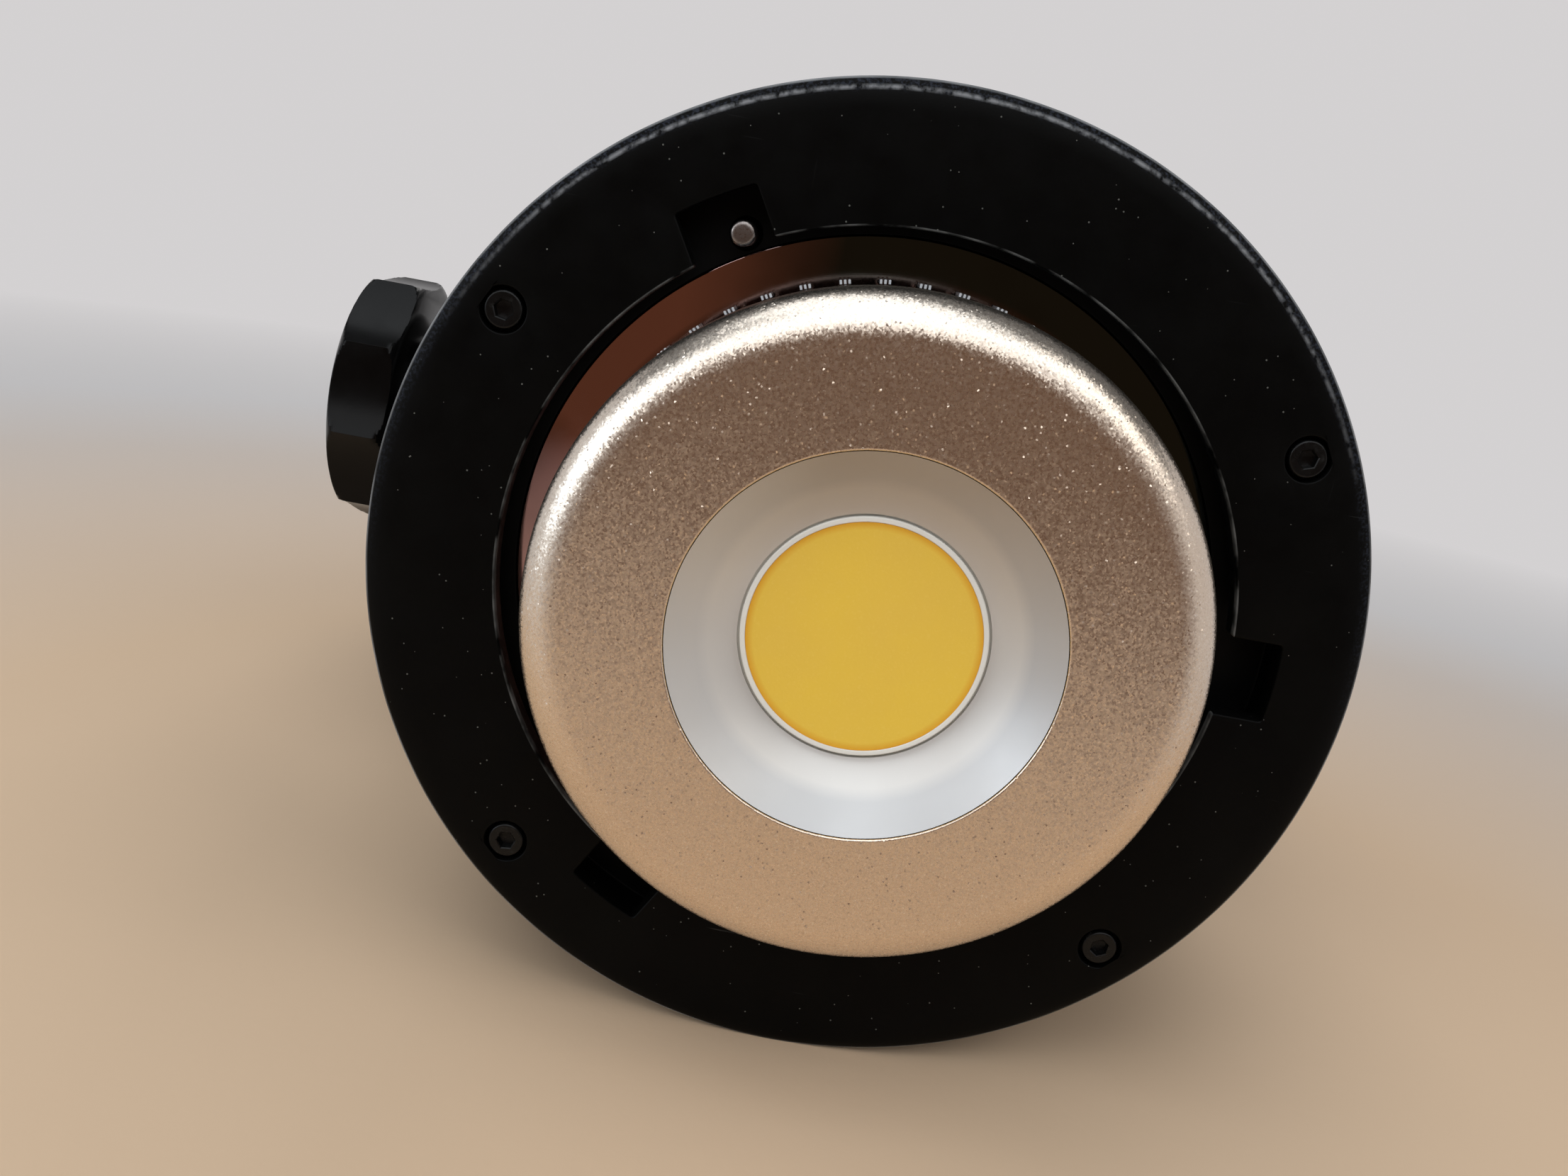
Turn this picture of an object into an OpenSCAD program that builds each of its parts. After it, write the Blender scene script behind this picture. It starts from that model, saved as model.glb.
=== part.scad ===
// Studio LED lamp head on a tilting yoke, with a three-slot bayonet front.
// The lamp axis is Y, the front looks towards -Y, and +Z is up. Sizes are in millimetres.
// The origin is the centre of the front flange's face. The lamp lies on the lowest edge of
// its flange and on the base of its yoke, which is swung back.

/* [Front flange] */
// Outside diameter of the flange
flange_d = 148; // [146:1:156]
// Width of the flange's face, from its outside in to its bore
flange_band = 19.5; // [19:0.1:20]
// Thickness of the flange
flange_t = 4; // [3.8:0.2:6]
// Rounding of the flange's outer edge
flange_edge = 1; // [0.4:0.1:1.5]
// Width of a bayonet slot
slot_w = 12; // [10:0.5:14]
// Depth of a bayonet slot, from the bore outwards
slot_depth = 7.5; // [6:0.1:8]
// Distance of the flange screws from the flange's outside
flange_screw_inset = 7.2; // [6.8:0.1:7.6]

/* [Mount ring and recess] */
// Depth of the ring behind the flange
ring_t = 12; // [10:0.5:16]
// Step from the flange's outside to the ring's outside
ring_step = 1; // [0.5:0.5:2]
// Depth of the groove that bayonet lugs turn in
lug_depth = 5.5; // [4.5:0.5:6]
// Room in that groove beyond the slots
lug_room = 1; // [0.5:0.1:1.5]
// Length of the lip that enters the shell
lip_len = 4; // [3:0.5:6]
// Step from the flange's bore in to the polished plate
plate_inset = 1.2; // [1:0.1:1.6]
// Thickness of the polished plate
plate_t = 1.5; // [1:0.1:2]

/* [Cup and collar] */
// Width of the recess, from the flange's bore in to the cup
recess_w = 7.5; // [7:0.1:8.5]
// Reach of the cup in front of the flange
cup_reach = 21.5; // [20:0.5:24]
// Rounding of the cup's front edge
cup_edge = 4; // [2:0.5:4.5]
// Width of the cup's front face, from its outside in to its opening
cup_band = 20.15; // [19:0.05:21]
// Wall of the cup
cup_wall = 2.2; // [1.8:0.1:2.5]
// Length of the cup, front to back
cup_len = 11.5; // [10:0.5:13]
// Wall of the collar under its ribs
collar_wall = 5.9; // [5.4:0.1:6.4]
// Number of ribs round the collar
rib_count = 52; // [40:1:60]
// Height of a rib
rib_h = 1.2; // [0.6:0.1:1.4]

/* [LED] */
// Width of the reflector dish
dish_w = 9.35; // [8.5:0.05:10]
// Gap between the dish and the yellow disc
dish_gap = 1.15; // [1.1:0.05:1.6]
// Distance of the yellow disc behind the cup's front
led_setback = 6.4; // [6:0.1:7]
// Thickness of the disc and its rim
phosphor_t = 0.8; // [0.6:0.1:1]
// Width of the white rim round the disc
dam_w = 0.8; // [0.6:0.1:1]
// Border of the LED's board beyond the yellow disc
led_border = 1.75; // [1.5:0.05:2.5]
// Thickness of the LED's board
led_board_t = 1.3; // [1:0.1:1.6]

/* [Heat sink] */
// Thickness of the copper plate under the LED
spreader_t = 4; // [3:0.5:5]
// Space round the sink's neck
neck_gap = 2.5; // [2:0.1:3]
// Thickness of the sink's plate
sink_plate_t = 4; // [3:0.5:6]
// Space between the fins and the screw heads round them
fin_room = 3.15; // [2:0.05:8]
// Length of the fins
fin_len = 62; // [50:1:70]
// Thickness of a fin
fin_t = 1.6; // [1:0.1:2]
// Number of fins
fin_count = 24; // [24:4:28]

/* [Fan] */
// Room between the fan's corners and the shell
fan_room = 3.5; // [2.5:0.1:5]
// Depth of the fan's frame
fan_t = 25; // [22:1:26]
// Space between the fins and the fan
fan_gap = 6; // [5:0.5:10]
// Number of blades
blade_count = 7; // [5:1:9]

/* [Shell] */
// Step from the flange's outside in to the shell
shell_step = 5; // [3.5:0.5:6]
// Wall of the shell
shell_wall = 2.5; // [2:0.1:3]
// Space behind the fan for the driver and the controls
rear_room = 69; // [67:1:90]
// Width of a vent slot
vent_w = 4; // [2:0.5:5]
// Number of vent slots round the shell
vent_count = 36; // [24:2:40]
// Thickness of the rear panel
panel_t = 4; // [3:0.5:6]
// Diameter of the tie rods
rod_d = 6; // [5.5:0.1:6.5]

/* [Controls] */
// Diameter of the dial
dial_d = 28; // [22:1:32]
// Length of the dial
dial_len = 14; // [10:1:18]
// Diameter of the dial's shaft
shaft_d = 6; // [5:0.1:6.5]
// Diameter of a button
button_d = 9; // [7:0.5:10]
// Travel of a button
button_travel = 1; // [0.6:0.1:1.2]
// Width of the display window
window_w = 46; // [40:1:50]
// Height of the display window
window_h = 24; // [20:1:26]
// Length of the rocker
rocker_l = 16.4; // [14:0.2:18]
// Tilt of the rocker either way
rocker_tilt = 8; // [5:1:10]

/* [Lock] */
// Diameter of the lock pin
pin_d = 3.6; // [3:0.1:4]
// Distance of the lock pin out from the flange's bore
pin_out = 1.7; // [1.5:0.1:2.5]
// Travel of the lock pin
pin_travel = 5; // [4:0.5:5.5]
// Wire of the lock spring
spring_wire = 0.7; // [0.5:0.1:0.8]
// Turns of the lock spring
spring_turns = 7; // [5:1:8]

/* [Yoke] */
// Distance of the tilt axis behind the fan's front
pivot_offset = 13; // [8:1:20]
// Thickness of the yoke's bar
bar_t = 6; // [5:0.5:8]
// Width of the yoke's bar
bar_w = 40; // [36:1:44]
// Space between the shell and an arm
arm_room = 19; // [18:0.5:23]
// Space that the stand socket leaves as it swings past the rear panel
swing_room = 2.52; // [2.5:0.02:16]
// Outer radius of the yoke's bends
bend_r = 18; // [12:1:24]
// Diameter of the pivot bosses
boss_d = 48; // [44:1:52]
// Diameter of the tilt stud and the pivot bolt
stud_d = 8; // [7:0.5:10]

/* [Tilt knob] */
// Diameter over the knob's ridges
knob_d = 53; // [46:1:56]
// Length of the knob's drum
knob_len = 13; // [12:0.5:18]
// Number of flutes
flute_count = 9; // [7:1:12]
// Depth of a flute below the line between its ridges
flute_sag = 1.2; // [0.6:0.1:1.6]

/* [Stand socket] */
// Bore for the stand's spigot
spigot_d = 16.2; // [16:0.1:17]
// Depth of that bore from the base's outer face
spigot_depth = 36; // [32:1:37]
// Width of the socket block
socket_w = 34; // [33:1:38]
// Material between the block's two bores
socket_web = 3.4; // [3:0.1:5]
// Bore for an umbrella shaft
umbrella_d = 8.2; // [7:0.1:8.4]

/* [Hidden] */
$fn = 96;
// Gap between pieces that seat in each other
seat = 0.1;
// Radial clearance of turning and sliding fits
run = 0.05;
// Gap between pieces that move past each other
clear = 0.3;
// Overshoot of a cut past the face that it opens
cut = 1;

// Radii
flange_r = flange_d / 2;
bore_r = flange_r - flange_band;
slot_r = bore_r + slot_depth;
lug_r = slot_r + lug_room;
plate_r = bore_r - plate_inset;
ring_r = flange_r - ring_step;
shell_r = flange_r - shell_step;
shell_d = 2 * shell_r;
shell_in_r = shell_r - shell_wall;
lip_r = shell_in_r - seat;
lip_wall = 1.2;
cup_r = bore_r - recess_w;
cup_in_r = cup_r - cup_wall;
open_r = cup_r - cup_band;
pin_r = bore_r + pin_out;
core_r = 16;

// Places along the lamp axis, front to back
cup_front = -cup_reach;
cup_back = cup_front + cup_len;
phosphor_front = cup_front + led_setback;
led_front = phosphor_front + phosphor_t;
led_back = led_front + led_board_t;
neck_front = led_back + spreader_t;
groove_floor = flange_t + lug_depth;
plate_back = groove_floor + plate_t;
ring_back = flange_t + ring_t;
lip_back = ring_back + lip_len;
sink_back = lip_back + sink_plate_t;
fins_back = sink_back + fin_len;
fan_front = fins_back + fan_gap;
fan_back = fan_front + fan_t;
shell_back = fan_back + rear_room;
panel_back = shell_back + panel_t;

// Fasteners
m25 = 2.5;
m3 = 3;
m4 = 4;
function head_d(d) = 1.5 * d + 1;
key_size = 5 / 6;
key_depth = 0.55;
slot_angles = [0, 120, 240];
flange_screw_angles = [30, 150, 225, 315];
flange_screw_r = flange_r - flange_screw_inset;
flange_screw_sink = 0.2;
head_room = 0.6;
quarters = [0, 90, 180, 270];
diagonals = [45, 135, 225, 315];

// Collar behind the cup
cup_overhang = 0.4;
collar_r = cup_r - cup_overhang - rib_h;
collar_in_r = collar_r - collar_wall;
collar_play = 0.5;
hole_r = collar_in_r + collar_play;
neck_r = hole_r - neck_gap;
rib_w = 2;
collar_spigot = 7;
collar_screw_r = (collar_in_r + collar_r) / 2;

// LED and its seat
reflector_out_r = open_r - seat;
reflector_in_r = reflector_out_r - dish_w;
phosphor_r = reflector_in_r - dish_gap;
led_board_w = 2 * (phosphor_r + led_border);
holder_inset = 2.5;
holder_r = neck_r - holder_inset;
holder_lip = 2.6;
holder_lip_r = reflector_in_r + holder_lip;
holder_lip_t = 0.9;
reflector_flange_r = holder_r - 2;
reflector_rim = 0.3;
reflector_t = 1.2;
reflector_lift = 0.7;
reflector_edge = 0.5;
dish_curve = 1.25;
dam_proud = 0.1;
holder_front = cup_front + cup_wall + reflector_t;
led_screw_r = holder_r - 4;
spreader_r = neck_r - 0.5;
led_screw_len = 11;

// Leads from the LED to its driver
lead_d = 2.2;
lead_r = holder_r - 2;
lead_turn = 180 / fin_count;
lead_x = lead_r * sin(lead_turn);
lead_z = -lead_r * cos(lead_turn);

// Tie rods, standoffs and plates of the rear
rod_angles = [30, 150, 210, 330];
rod_r = shell_in_r - seat - lip_wall - clear - rod_d / 2;
rod_thread = 12;
stud_len = 8;
driver_gap = 26;
driver_t = 2;
driver_y = shell_back - driver_gap - driver_t;
driver_inset = 1.5;
driver_r = shell_in_r - driver_inset;
standoff_h = 6;
standoff_d = 6;
board_t = 1.6;
driver_board_room = 5;
driver_board_r = driver_r - driver_board_room;
driver_board_w = 1.6 * driver_board_r;
driver_board_h = driver_board_w * 11 / 12;
standoff_inset_x = 10;
standoff_inset_z = 8;
standoff_x = driver_board_w / 2 - standoff_inset_x;
standoff_z = driver_board_h / 2 - standoff_inset_z;
transformer_x = driver_board_w * 0.125;
transformer_z = driver_board_h * 0.08;
capacitor_d = driver_board_h * 0.18;
capacitor_x = -driver_board_w * 0.29;
capacitor_z = driver_board_h * [-0.25, -0.045, 0.16];
choke_x = driver_board_w * 0.146;
choke_z = -driver_board_h * 0.273;
part_h = 24;
lead_window_d = 42;
lead_inset = 2;
lead_space = 4;
driver_board_back = driver_y - standoff_h;
driver_board_front = driver_board_back - board_t;

// Sink plate, its screws and the fan posts
sink_r = rod_r;
sink_screw_inset = 4;
sink_screw_r = rod_r - sink_screw_inset;
fin_r = sink_screw_r - head_d(m3) / 2 - fin_room;
post_d = 7;
fan_corner = 5;
fan_w = 2 * ((shell_in_r - fan_room - fan_corner) / sqrt(2) + fan_corner);
lead_low = -(fan_w / 2 + shell_in_r) / 2;
fan_hole_inset = 4.75;
fan_hole = fan_w / 2 - fan_hole_inset;
fan_screw_bite = 5;
fan_screw_len = fan_t + fan_screw_bite;
fan_wall = 2;
fan_bore_d = fan_w - 2 * fan_wall;
fan_hub_d = 36;
spider_t = 3;
spider_w = 4;
blade_pitch = 38;
blade_t = 1.6;
blade_gap = 1.5;
fan_shaft_d = 3;

// Vent slots
pivot_back = fan_front + pivot_offset;
vent_sink_gap = 10;
vent_boss_gap_front = 7;
vent_boss_gap_rear = 2;
vent_panel_gap = 21;
vent_front_y = [sink_back + vent_sink_gap, pivot_back - boss_d / 2 - vent_boss_gap_front];
vent_rear_y = [pivot_back + boss_d / 2 + vent_boss_gap_rear, shell_back - vent_panel_gap];
vent_lock_gap = 12;

// Rear panel layout, seen along the lamp axis as x and z
window_z = 0.435 * shell_r;
window_t = 2;
window_lip = 2;
dial_z = -0.058 * shell_r;
button_x = 0.3913 * shell_r;
button_z = dial_z;
switch_x = 0.319 * shell_r;
switch_z = -0.58 * shell_r;
inlet_x = -0.232 * shell_r;
inlet_z = switch_z;
panel_vent_x = 0.696 * shell_r;
panel_vent_w = 16;
panel_vent_h = 3;
panel_vent_step = 7;
control_board_y = shell_back - 10;
control_edge = 3;
control_board_w = 2 * (button_x + 3 * control_edge);
control_board_low = dial_z - 10;
control_board_high = window_z + window_h / 2 + 4;
control_screw_x = control_board_w / 2 - control_edge;
control_screw_low = control_board_low + control_edge;
control_screw_high = control_board_high - control_edge;
key_h = 3.4;
key_w = 6;
encoder_h = 6.5;
encoder_w = 12;
encoder_bore = 4;
dial_gap = 0.6;
dial_grips = 28;
dial_grip_d = 1.8;
dial_grip_out = 0.4;
button_flange = 2.5;
button_flange_t = 1.6;
button_proud = 1.5;
control_back = control_board_y + board_t;

// Rocker switch and inlet
rocker_w = 10;
rocker_room = 1;
rocker_depth = 4;
switch_wall = 1.2;
switch_bezel = 1;
switch_bezel_t = 1.8;
switch_depth = 18;
rocker_pin_d = 2;
rocker_pivot_y = panel_back - 3;
inlet_w = 27.4;
inlet_h = 20.4;
inlet_rim = 1.8;
inlet_rim_t = 2.5;
inlet_depth = 22;
inlet_cavity_w = 24.4;
inlet_cavity_h = 17;
inlet_cavity = 16.5;
inlet_pin = [2, 4];
inlet_pin_end = 3.5;
inlet_tab = 6;
inlet_pins = [[-7, -2], [7, -2], [0, 2]];

// Lock pin, its spring and its release tab, in a frame turned to the pin's angle
lock_angle = 118.1;
pin_tip = 1.5;
pin_chamfer = 0.4;
stem_d = 3;
lock_collar_d = 7;
lock_collar_t = 1.5;
lock_collar_back = lip_back + run + lock_collar_t;
lock_spring_len = 14;
bracket_y = lock_collar_back + lock_spring_len;
bracket_t = 1.5;
bracket_w = 17;
bracket_depth = 10;
tab_y = bracket_y + bracket_t + cut;
tab_t = 3;
tab_w = 6;
tab_thumb = [5, 20, 12];
tab_grips = 5;
tab_grip_d = 1.6;
tab_back = tab_y + tab_t;
spring_r = (stem_d + lock_collar_d) / 4;

// Yoke, tilt knob and stand socket, in a frame that swings with the yoke
arm_in = shell_r + arm_room;
arm_out = arm_in + bar_t;
socket_skin = 2.4;
socket_h = spigot_depth - bar_t + socket_web + umbrella_d + socket_skin;
yoke_reach = norm([panel_back - pivot_back, shell_r]) + swing_room + socket_h + bar_t;
yoke_rest = acos(flange_r / norm([yoke_reach, bar_w / 2])) + atan(bar_w / 2 / yoke_reach);
washer_t = 1.2;
washer_d = 20;
friction_t = 1.4;
friction_d = boss_d - 4;
boss_face = arm_in - friction_t - seat;
boss_screw_inset = 9;
boss_screw_y = boss_d / 2 - boss_screw_inset;
boss_screw_len = 10;
stud_in = boss_face - 16;
knob_neck_d = 30;
knob_neck = 1.8;
knob_face = arm_out + washer_t + knob_neck;
knob_end = knob_face + knob_len;
knob_cap = 2;
knob_edge = 1.2;
ridge_turn = 16.4;
base_in = yoke_reach - bar_t;
socket_top = base_in - socket_h;
socket_bolt = socket_w / 2 - 4.5;
socket_bolt_len = 14;
umbrella_z = -(socket_top + socket_skin + umbrella_d / 2);
hollow_count = 6;
hollow_place = 0.62;
hollow_size = 0.4;
stand_knob_d = 32;
stand_knob_t = 14;
stand_knob_gap = 3;
stand_neck = 9;
stand_screw_z = -(base_in - stand_knob_d / 2 - stand_knob_gap);
stand_screw_d = 8;
umbrella_screw_d = 5;
umbrella_knob_d = 16;
umbrella_knob_t = 11;
umbrella_neck = 3;
tip_gap = 0.5;

// Shapes used by several pieces

// Points of an arc in a profile, from one angle to another
function arc(c, r, a0, a1, n = 6) = [for (i = [0:n])
    c + r * [cos(a0 + (a1 - a0) * i / n), sin(a0 + (a1 - a0) * i / n)]];

// A turned piece: its profile holds radius and place along the lamp axis
module turned(profile) {
    rotate([-90, 0, 0]) rotate_extrude() polygon(profile);
}

// Round bars along the axes
module rod_y(d, y0, y1) {
    translate([0, y0, 0]) rotate([-90, 0, 0]) cylinder(d = d, h = y1 - y0);
}
module rod_x(d, x0, x1) {
    translate([x0, 0, 0]) rotate([0, 90, 0]) cylinder(d = d, h = x1 - x0);
}

// A box between two corners
module block(low, high) {
    translate(low) cube(high - low);
}

// A place on a circle round the lamp axis, with X pointing outwards there
module at(angle, r = 0) {
    rotate([0, -angle, 0]) translate([r, 0, 0]) children();
}

// A socket-head screw along Y, its head on the side of the seat that is away from its tip
module cap_screw(d, seat_y, tip_y) {
    key = d * key_size / cos(30);
    translate([0, seat_y, 0]) rotate([0, 0, tip_y < seat_y ? 180 : 0]) difference() {
        union() {
            rod_y(head_d(d), -d, 0);
            rod_y(d, 0, abs(tip_y - seat_y));
        }
        translate([0, -d - cut, 0]) rotate([-90, 0, 0])
            cylinder(d = key, h = cut + d * key_depth, $fn = 6);
    }
}

// The hole for such a screw's shank
module screw_hole(d, y0, y1) {
    rod_y(d + 2 * seat, y0, y1);
}

// A hand knob along X with hollows round it for the fingers
module hand_knob(d, x0, x1) {
    difference() {
        rod_x(d, x0, x1);
        for (i = [0:hollow_count - 1]) rotate([360 * i / hollow_count, 0, 0])
            translate([0, 0, d * hollow_place]) rod_x(d * hollow_size, x0 - cut, x1 + cut);
    }
}

// A tube that runs through points
module tube(d, route) {
    for (i = [0:len(route) - 2]) {
        run_vector = route[i + 1] - route[i];
        turn = [0, acos(run_vector.z / norm(run_vector)), atan2(run_vector.y, run_vector.x)];
        translate(route[i]) rotate(turn) cylinder(d = d, h = norm(run_vector), $fn = 24);
        if (i > 0) translate(route[i]) sphere(d = d, $fn = 24);
    }
}

// Frames
module in_lock() {
    rotate([0, -lock_angle, 0]) children();
}
module in_yoke() {
    translate([0, pivot_back, 0]) rotate([yoke_rest, 0, 0]) children();
}
module on_tilt_axis() {
    translate([0, pivot_back, 0]) children();
}

// Front

module mount_flange() {
    color("#161616") difference() {
        turned(concat([[bore_r, 0]],
            arc([flange_r - flange_edge, flange_edge], flange_edge, -90, 0),
            arc([flange_r - flange_edge, flange_t - flange_edge], flange_edge, 0, 90),
            [[bore_r, flange_t]]));
        for (a = slot_angles) at(a) intersection() {
            rod_y(2 * slot_r, -cut, flange_t + cut);
            block([bore_r - flange_t, -cut, -slot_w / 2], [flange_r, flange_t + cut, slot_w / 2]);
        }
        for (a = flange_screw_angles) at(a, flange_screw_r) {
            screw_hole(m3, -cut, flange_t + cut);
            rod_y(head_d(m3) + 2 * head_room, -cut, m3 + flange_screw_sink);
        }
    }
}

module flange_screws() {
    color("#2a2a2a") for (a = flange_screw_angles) at(a, flange_screw_r)
        cap_screw(m3, m3 + flange_screw_sink, flange_t + m3 * 3);
}

module mount_ring() {
    color("#141414") difference() {
        turned([[hole_r, plate_back], [hole_r, ring_back], [pin_r - bracket_depth / 2 - cut, ring_back],
            [pin_r - bracket_depth / 2 - cut, lip_back], [lip_r, lip_back], [lip_r, ring_back],
            [ring_r, ring_back], [ring_r, flange_t], [lug_r, flange_t], [lug_r, groove_floor],
            [plate_r + seat, groove_floor], [plate_r + seat, plate_back]]);
        for (a = flange_screw_angles) at(a, flange_screw_r)
            screw_hole(m3, flange_t - cut, flange_t + m3 * 3 + cut);
        for (a = diagonals) at(a, collar_screw_r) screw_hole(m3, plate_back - cut, ring_back + cut);
        for (a = quarters) at(a, sink_screw_r) screw_hole(m3, lip_back - stud_len, lip_back + cut);
        for (a = rod_angles) at(a, rod_r) screw_hole(m4, lip_back - stud_len, lip_back + cut);
        in_lock() translate([pin_r, 0, 0]) rod_y(pin_d + 2 * run, groove_floor - cut, lip_back + cut);
    }
}

module recess_plate() {
    color("#6e5140") difference() {
        turned([[hole_r, groove_floor], [plate_r, groove_floor], [plate_r, plate_back],
            [hole_r, plate_back]]);
        for (a = diagonals) at(a, collar_screw_r) screw_hole(m3, groove_floor - cut, plate_back + cut);
    }
}

module rib_collar() {
    color("#1c1a18") difference() {
        union() {
            turned([[collar_in_r, cup_back - collar_spigot], [cup_in_r - seat, cup_back - collar_spigot],
                [cup_in_r - seat, cup_back], [collar_r, cup_back], [collar_r, groove_floor],
                [collar_in_r, groove_floor]]);
            for (i = [0:rib_count - 1]) at(360 * i / rib_count)
                block([collar_r - cut, cup_back + seat, -rib_w / 2],
                    [collar_r + rib_h, groove_floor - seat, rib_w / 2]);
        }
        for (a = diagonals) at(a, collar_screw_r) screw_hole(m3, groove_floor - m3 * 3, groove_floor + cut);
    }
}

module collar_screws() {
    color("#8a8a88") for (a = diagonals) at(a, collar_screw_r)
        cap_screw(m3, ring_back, groove_floor - m3 * 3 + cut);
}

module lamp_cup() {
    color("#c3a890") turned(concat([[open_r, cup_front]],
        arc([cup_r - cup_edge, cup_front + cup_edge], cup_edge, -90, 0, 10),
        [[cup_r, cup_back], [cup_in_r, cup_back], [cup_in_r, cup_front + cup_wall],
        [open_r, cup_front + cup_wall]]));
}

// The dish's front curve, from the LED out to the cup's opening
reflector_low = led_front - reflector_lift;
reflector_high = cup_front + reflector_rim;
function dish(t) = [reflector_in_r + (reflector_out_r - reflector_in_r) * t,
    reflector_low + (reflector_high - reflector_low) * pow(t, dish_curve)];

module reflector() {
    color("#d8d6d2") turned(concat([for (i = [0:8]) dish(i / 8)],
        [[reflector_out_r, cup_front + cup_wall], [reflector_flange_r, cup_front + cup_wall],
        [reflector_flange_r, holder_front], [reflector_out_r - reflector_edge, holder_front],
        [reflector_in_r, led_front - seat]]));
}

module led_dam() {
    in_r = phosphor_r;
    out_r = in_r + dam_w;
    front = phosphor_front - dam_proud;
    color("#f2efe6") turned([[in_r, front], [out_r, front], [out_r, led_front], [in_r, led_front]]);
}

module led_phosphor() {
    color("#dfb23c") rod_y(2 * phosphor_r, phosphor_front, led_front);
}

module led_board() {
    half = led_board_w / 2;
    color("#dcd8cf") block([-half, led_front, -half], [half, led_back, half]);
}

module led_holder() {
    half = led_board_w / 2 + seat;
    color("#e9e6de") difference() {
        turned([[holder_lip_r, led_front - holder_lip_t], [reflector_out_r + clear, led_front - holder_lip_t],
            [reflector_out_r + clear, holder_front], [holder_r, holder_front], [holder_r, led_back],
            [holder_lip_r, led_back]]);
        block([-half, led_front, -half], [half, led_back + cut, half]);
        for (a = diagonals) at(a, led_screw_r) {
            screw_hole(m25, holder_front - cut, led_back + cut);
            rod_y(head_d(m25) + 2 * seat, holder_front - cut, holder_front + m25 + seat);
        }
    }
}

module led_screws() {
    seat_y = holder_front + m25 + seat;
    color("#9a9a98") for (a = diagonals) at(a, led_screw_r)
        cap_screw(m25, seat_y, seat_y + led_screw_len);
}

module lead_holes(y0, y1) {
    for (s = [-1, 1]) translate([s * lead_x, 0, lead_z]) rod_y(lead_d + 2 * clear, y0, y1);
}

module heat_spreader() {
    color("#b87346") difference() {
        rod_y(2 * spreader_r, led_back, neck_front);
        for (a = diagonals) at(a, led_screw_r) screw_hole(m25, led_back - cut, neck_front + cut);
        lead_holes(led_back - cut, neck_front + cut);
    }
}

// A place at each of the fan's four screws
module at_fan_screws() {
    for (x = [-1, 1], z = [-1, 1]) translate([x * fan_hole, 0, z * fan_hole]) children();
}

module heat_sink() {
    color("#9fa3a6") difference() {
        union() {
            rod_y(2 * neck_r, neck_front, lip_back);
            rod_y(2 * sink_r, lip_back, sink_back);
            rod_y(2 * core_r, sink_back, fins_back);
            difference() {
                for (i = [0:fin_count - 1]) at(360 * i / fin_count)
                    block([core_r - cut, sink_back, -fin_t / 2], [fin_r, fins_back, fin_t / 2]);
                at_fan_screws() rod_y(post_d + 2 * cut, sink_back, fins_back + cut);
            }
            at_fan_screws() rod_y(post_d, sink_back, fan_front);
        }
        for (a = diagonals) at(a, led_screw_r) screw_hole(m25, neck_front - cut, neck_front + led_screw_len);
        lead_holes(neck_front - cut, sink_back + cut);
        for (a = quarters) at(a, sink_screw_r) screw_hole(m3, lip_back - cut, sink_back + cut);
        for (a = rod_angles) at(a, rod_r) rod_y(rod_d + 2 * clear, lip_back - cut, sink_back + cut);
        at_fan_screws() screw_hole(m4, fan_front - fan_screw_len + fan_t, fan_front + cut);
        in_lock() block([pin_r - bracket_depth / 2 - cut, lip_back - cut, -bracket_w / 2 - cut],
            [shell_r, tab_back + pin_travel + cut, bracket_w / 2 + cut]);
    }
}

module sink_screws() {
    color("#8a8a88") for (a = quarters) at(a, sink_screw_r)
        cap_screw(m3, sink_back, lip_back - stud_len + cut);
}

module led_leads() {
    turn_y = fins_back + fan_gap / 2;
    last_y = driver_board_front - lead_space;
    last_z = lead_inset - driver_board_h / 2;
    color("#a32020") for (s = [-1, 1]) translate([s * lead_x, 0, 0])
        tube(lead_d, [[0, led_back, lead_z], [0, turn_y, lead_z], [0, turn_y, lead_low],
            [0, last_y, lead_low], [0, last_y, last_z], [0, driver_board_front, last_z]]);
}

// Bayonet lock

module lock_pin() {
    color("#b9b7b2") in_lock() translate([pin_r, 0, 0]) {
        translate([0, pin_tip, 0]) rotate([-90, 0, 0])
            cylinder(d1 = pin_d - 2 * pin_chamfer, d2 = pin_d, h = pin_chamfer);
        rod_y(pin_d, pin_tip + pin_chamfer, lip_back + run);
        rod_y(lock_collar_d, lip_back + run, lock_collar_back);
        rod_y(stem_d, lock_collar_back, tab_back);
    }
}

// The spring is one helix of round wire round the pin's stem
spring_rings = 8;
spring_sides = 6;
spring_pitch = (lock_spring_len - 2 * spring_wire) / spring_turns;
function spring_point(i) = [spring_r * cos(360 * i / spring_rings), spring_r * sin(360 * i / spring_rings),
    spring_wire + spring_pitch * i / spring_rings];
function spring_side(i) = let (a = 360 * i / spring_rings,
    along = [-spring_r * sin(a), spring_r * cos(a), spring_pitch / (2 * PI)])
    cross(along / norm(along), [cos(a), sin(a), 0]);
function spring_ring(i) = let (a = 360 * i / spring_rings)
    [for (k = [0:spring_sides - 1]) spring_point(i) + spring_wire / 2
        * (cos(360 * k / spring_sides) * [cos(a), sin(a), 0] + sin(360 * k / spring_sides) * spring_side(i))];
spring_last = spring_turns * spring_rings;
spring_least_gap = min([for (i = [0:spring_last - spring_rings]) for (k = [-2:2])
    if (i + spring_rings + k <= spring_last)
        norm(spring_point(i) - spring_point(i + spring_rings + k))]) - spring_wire;
echo(str("lock spring, least gap between turns: ", spring_least_gap, " mm"));

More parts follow.
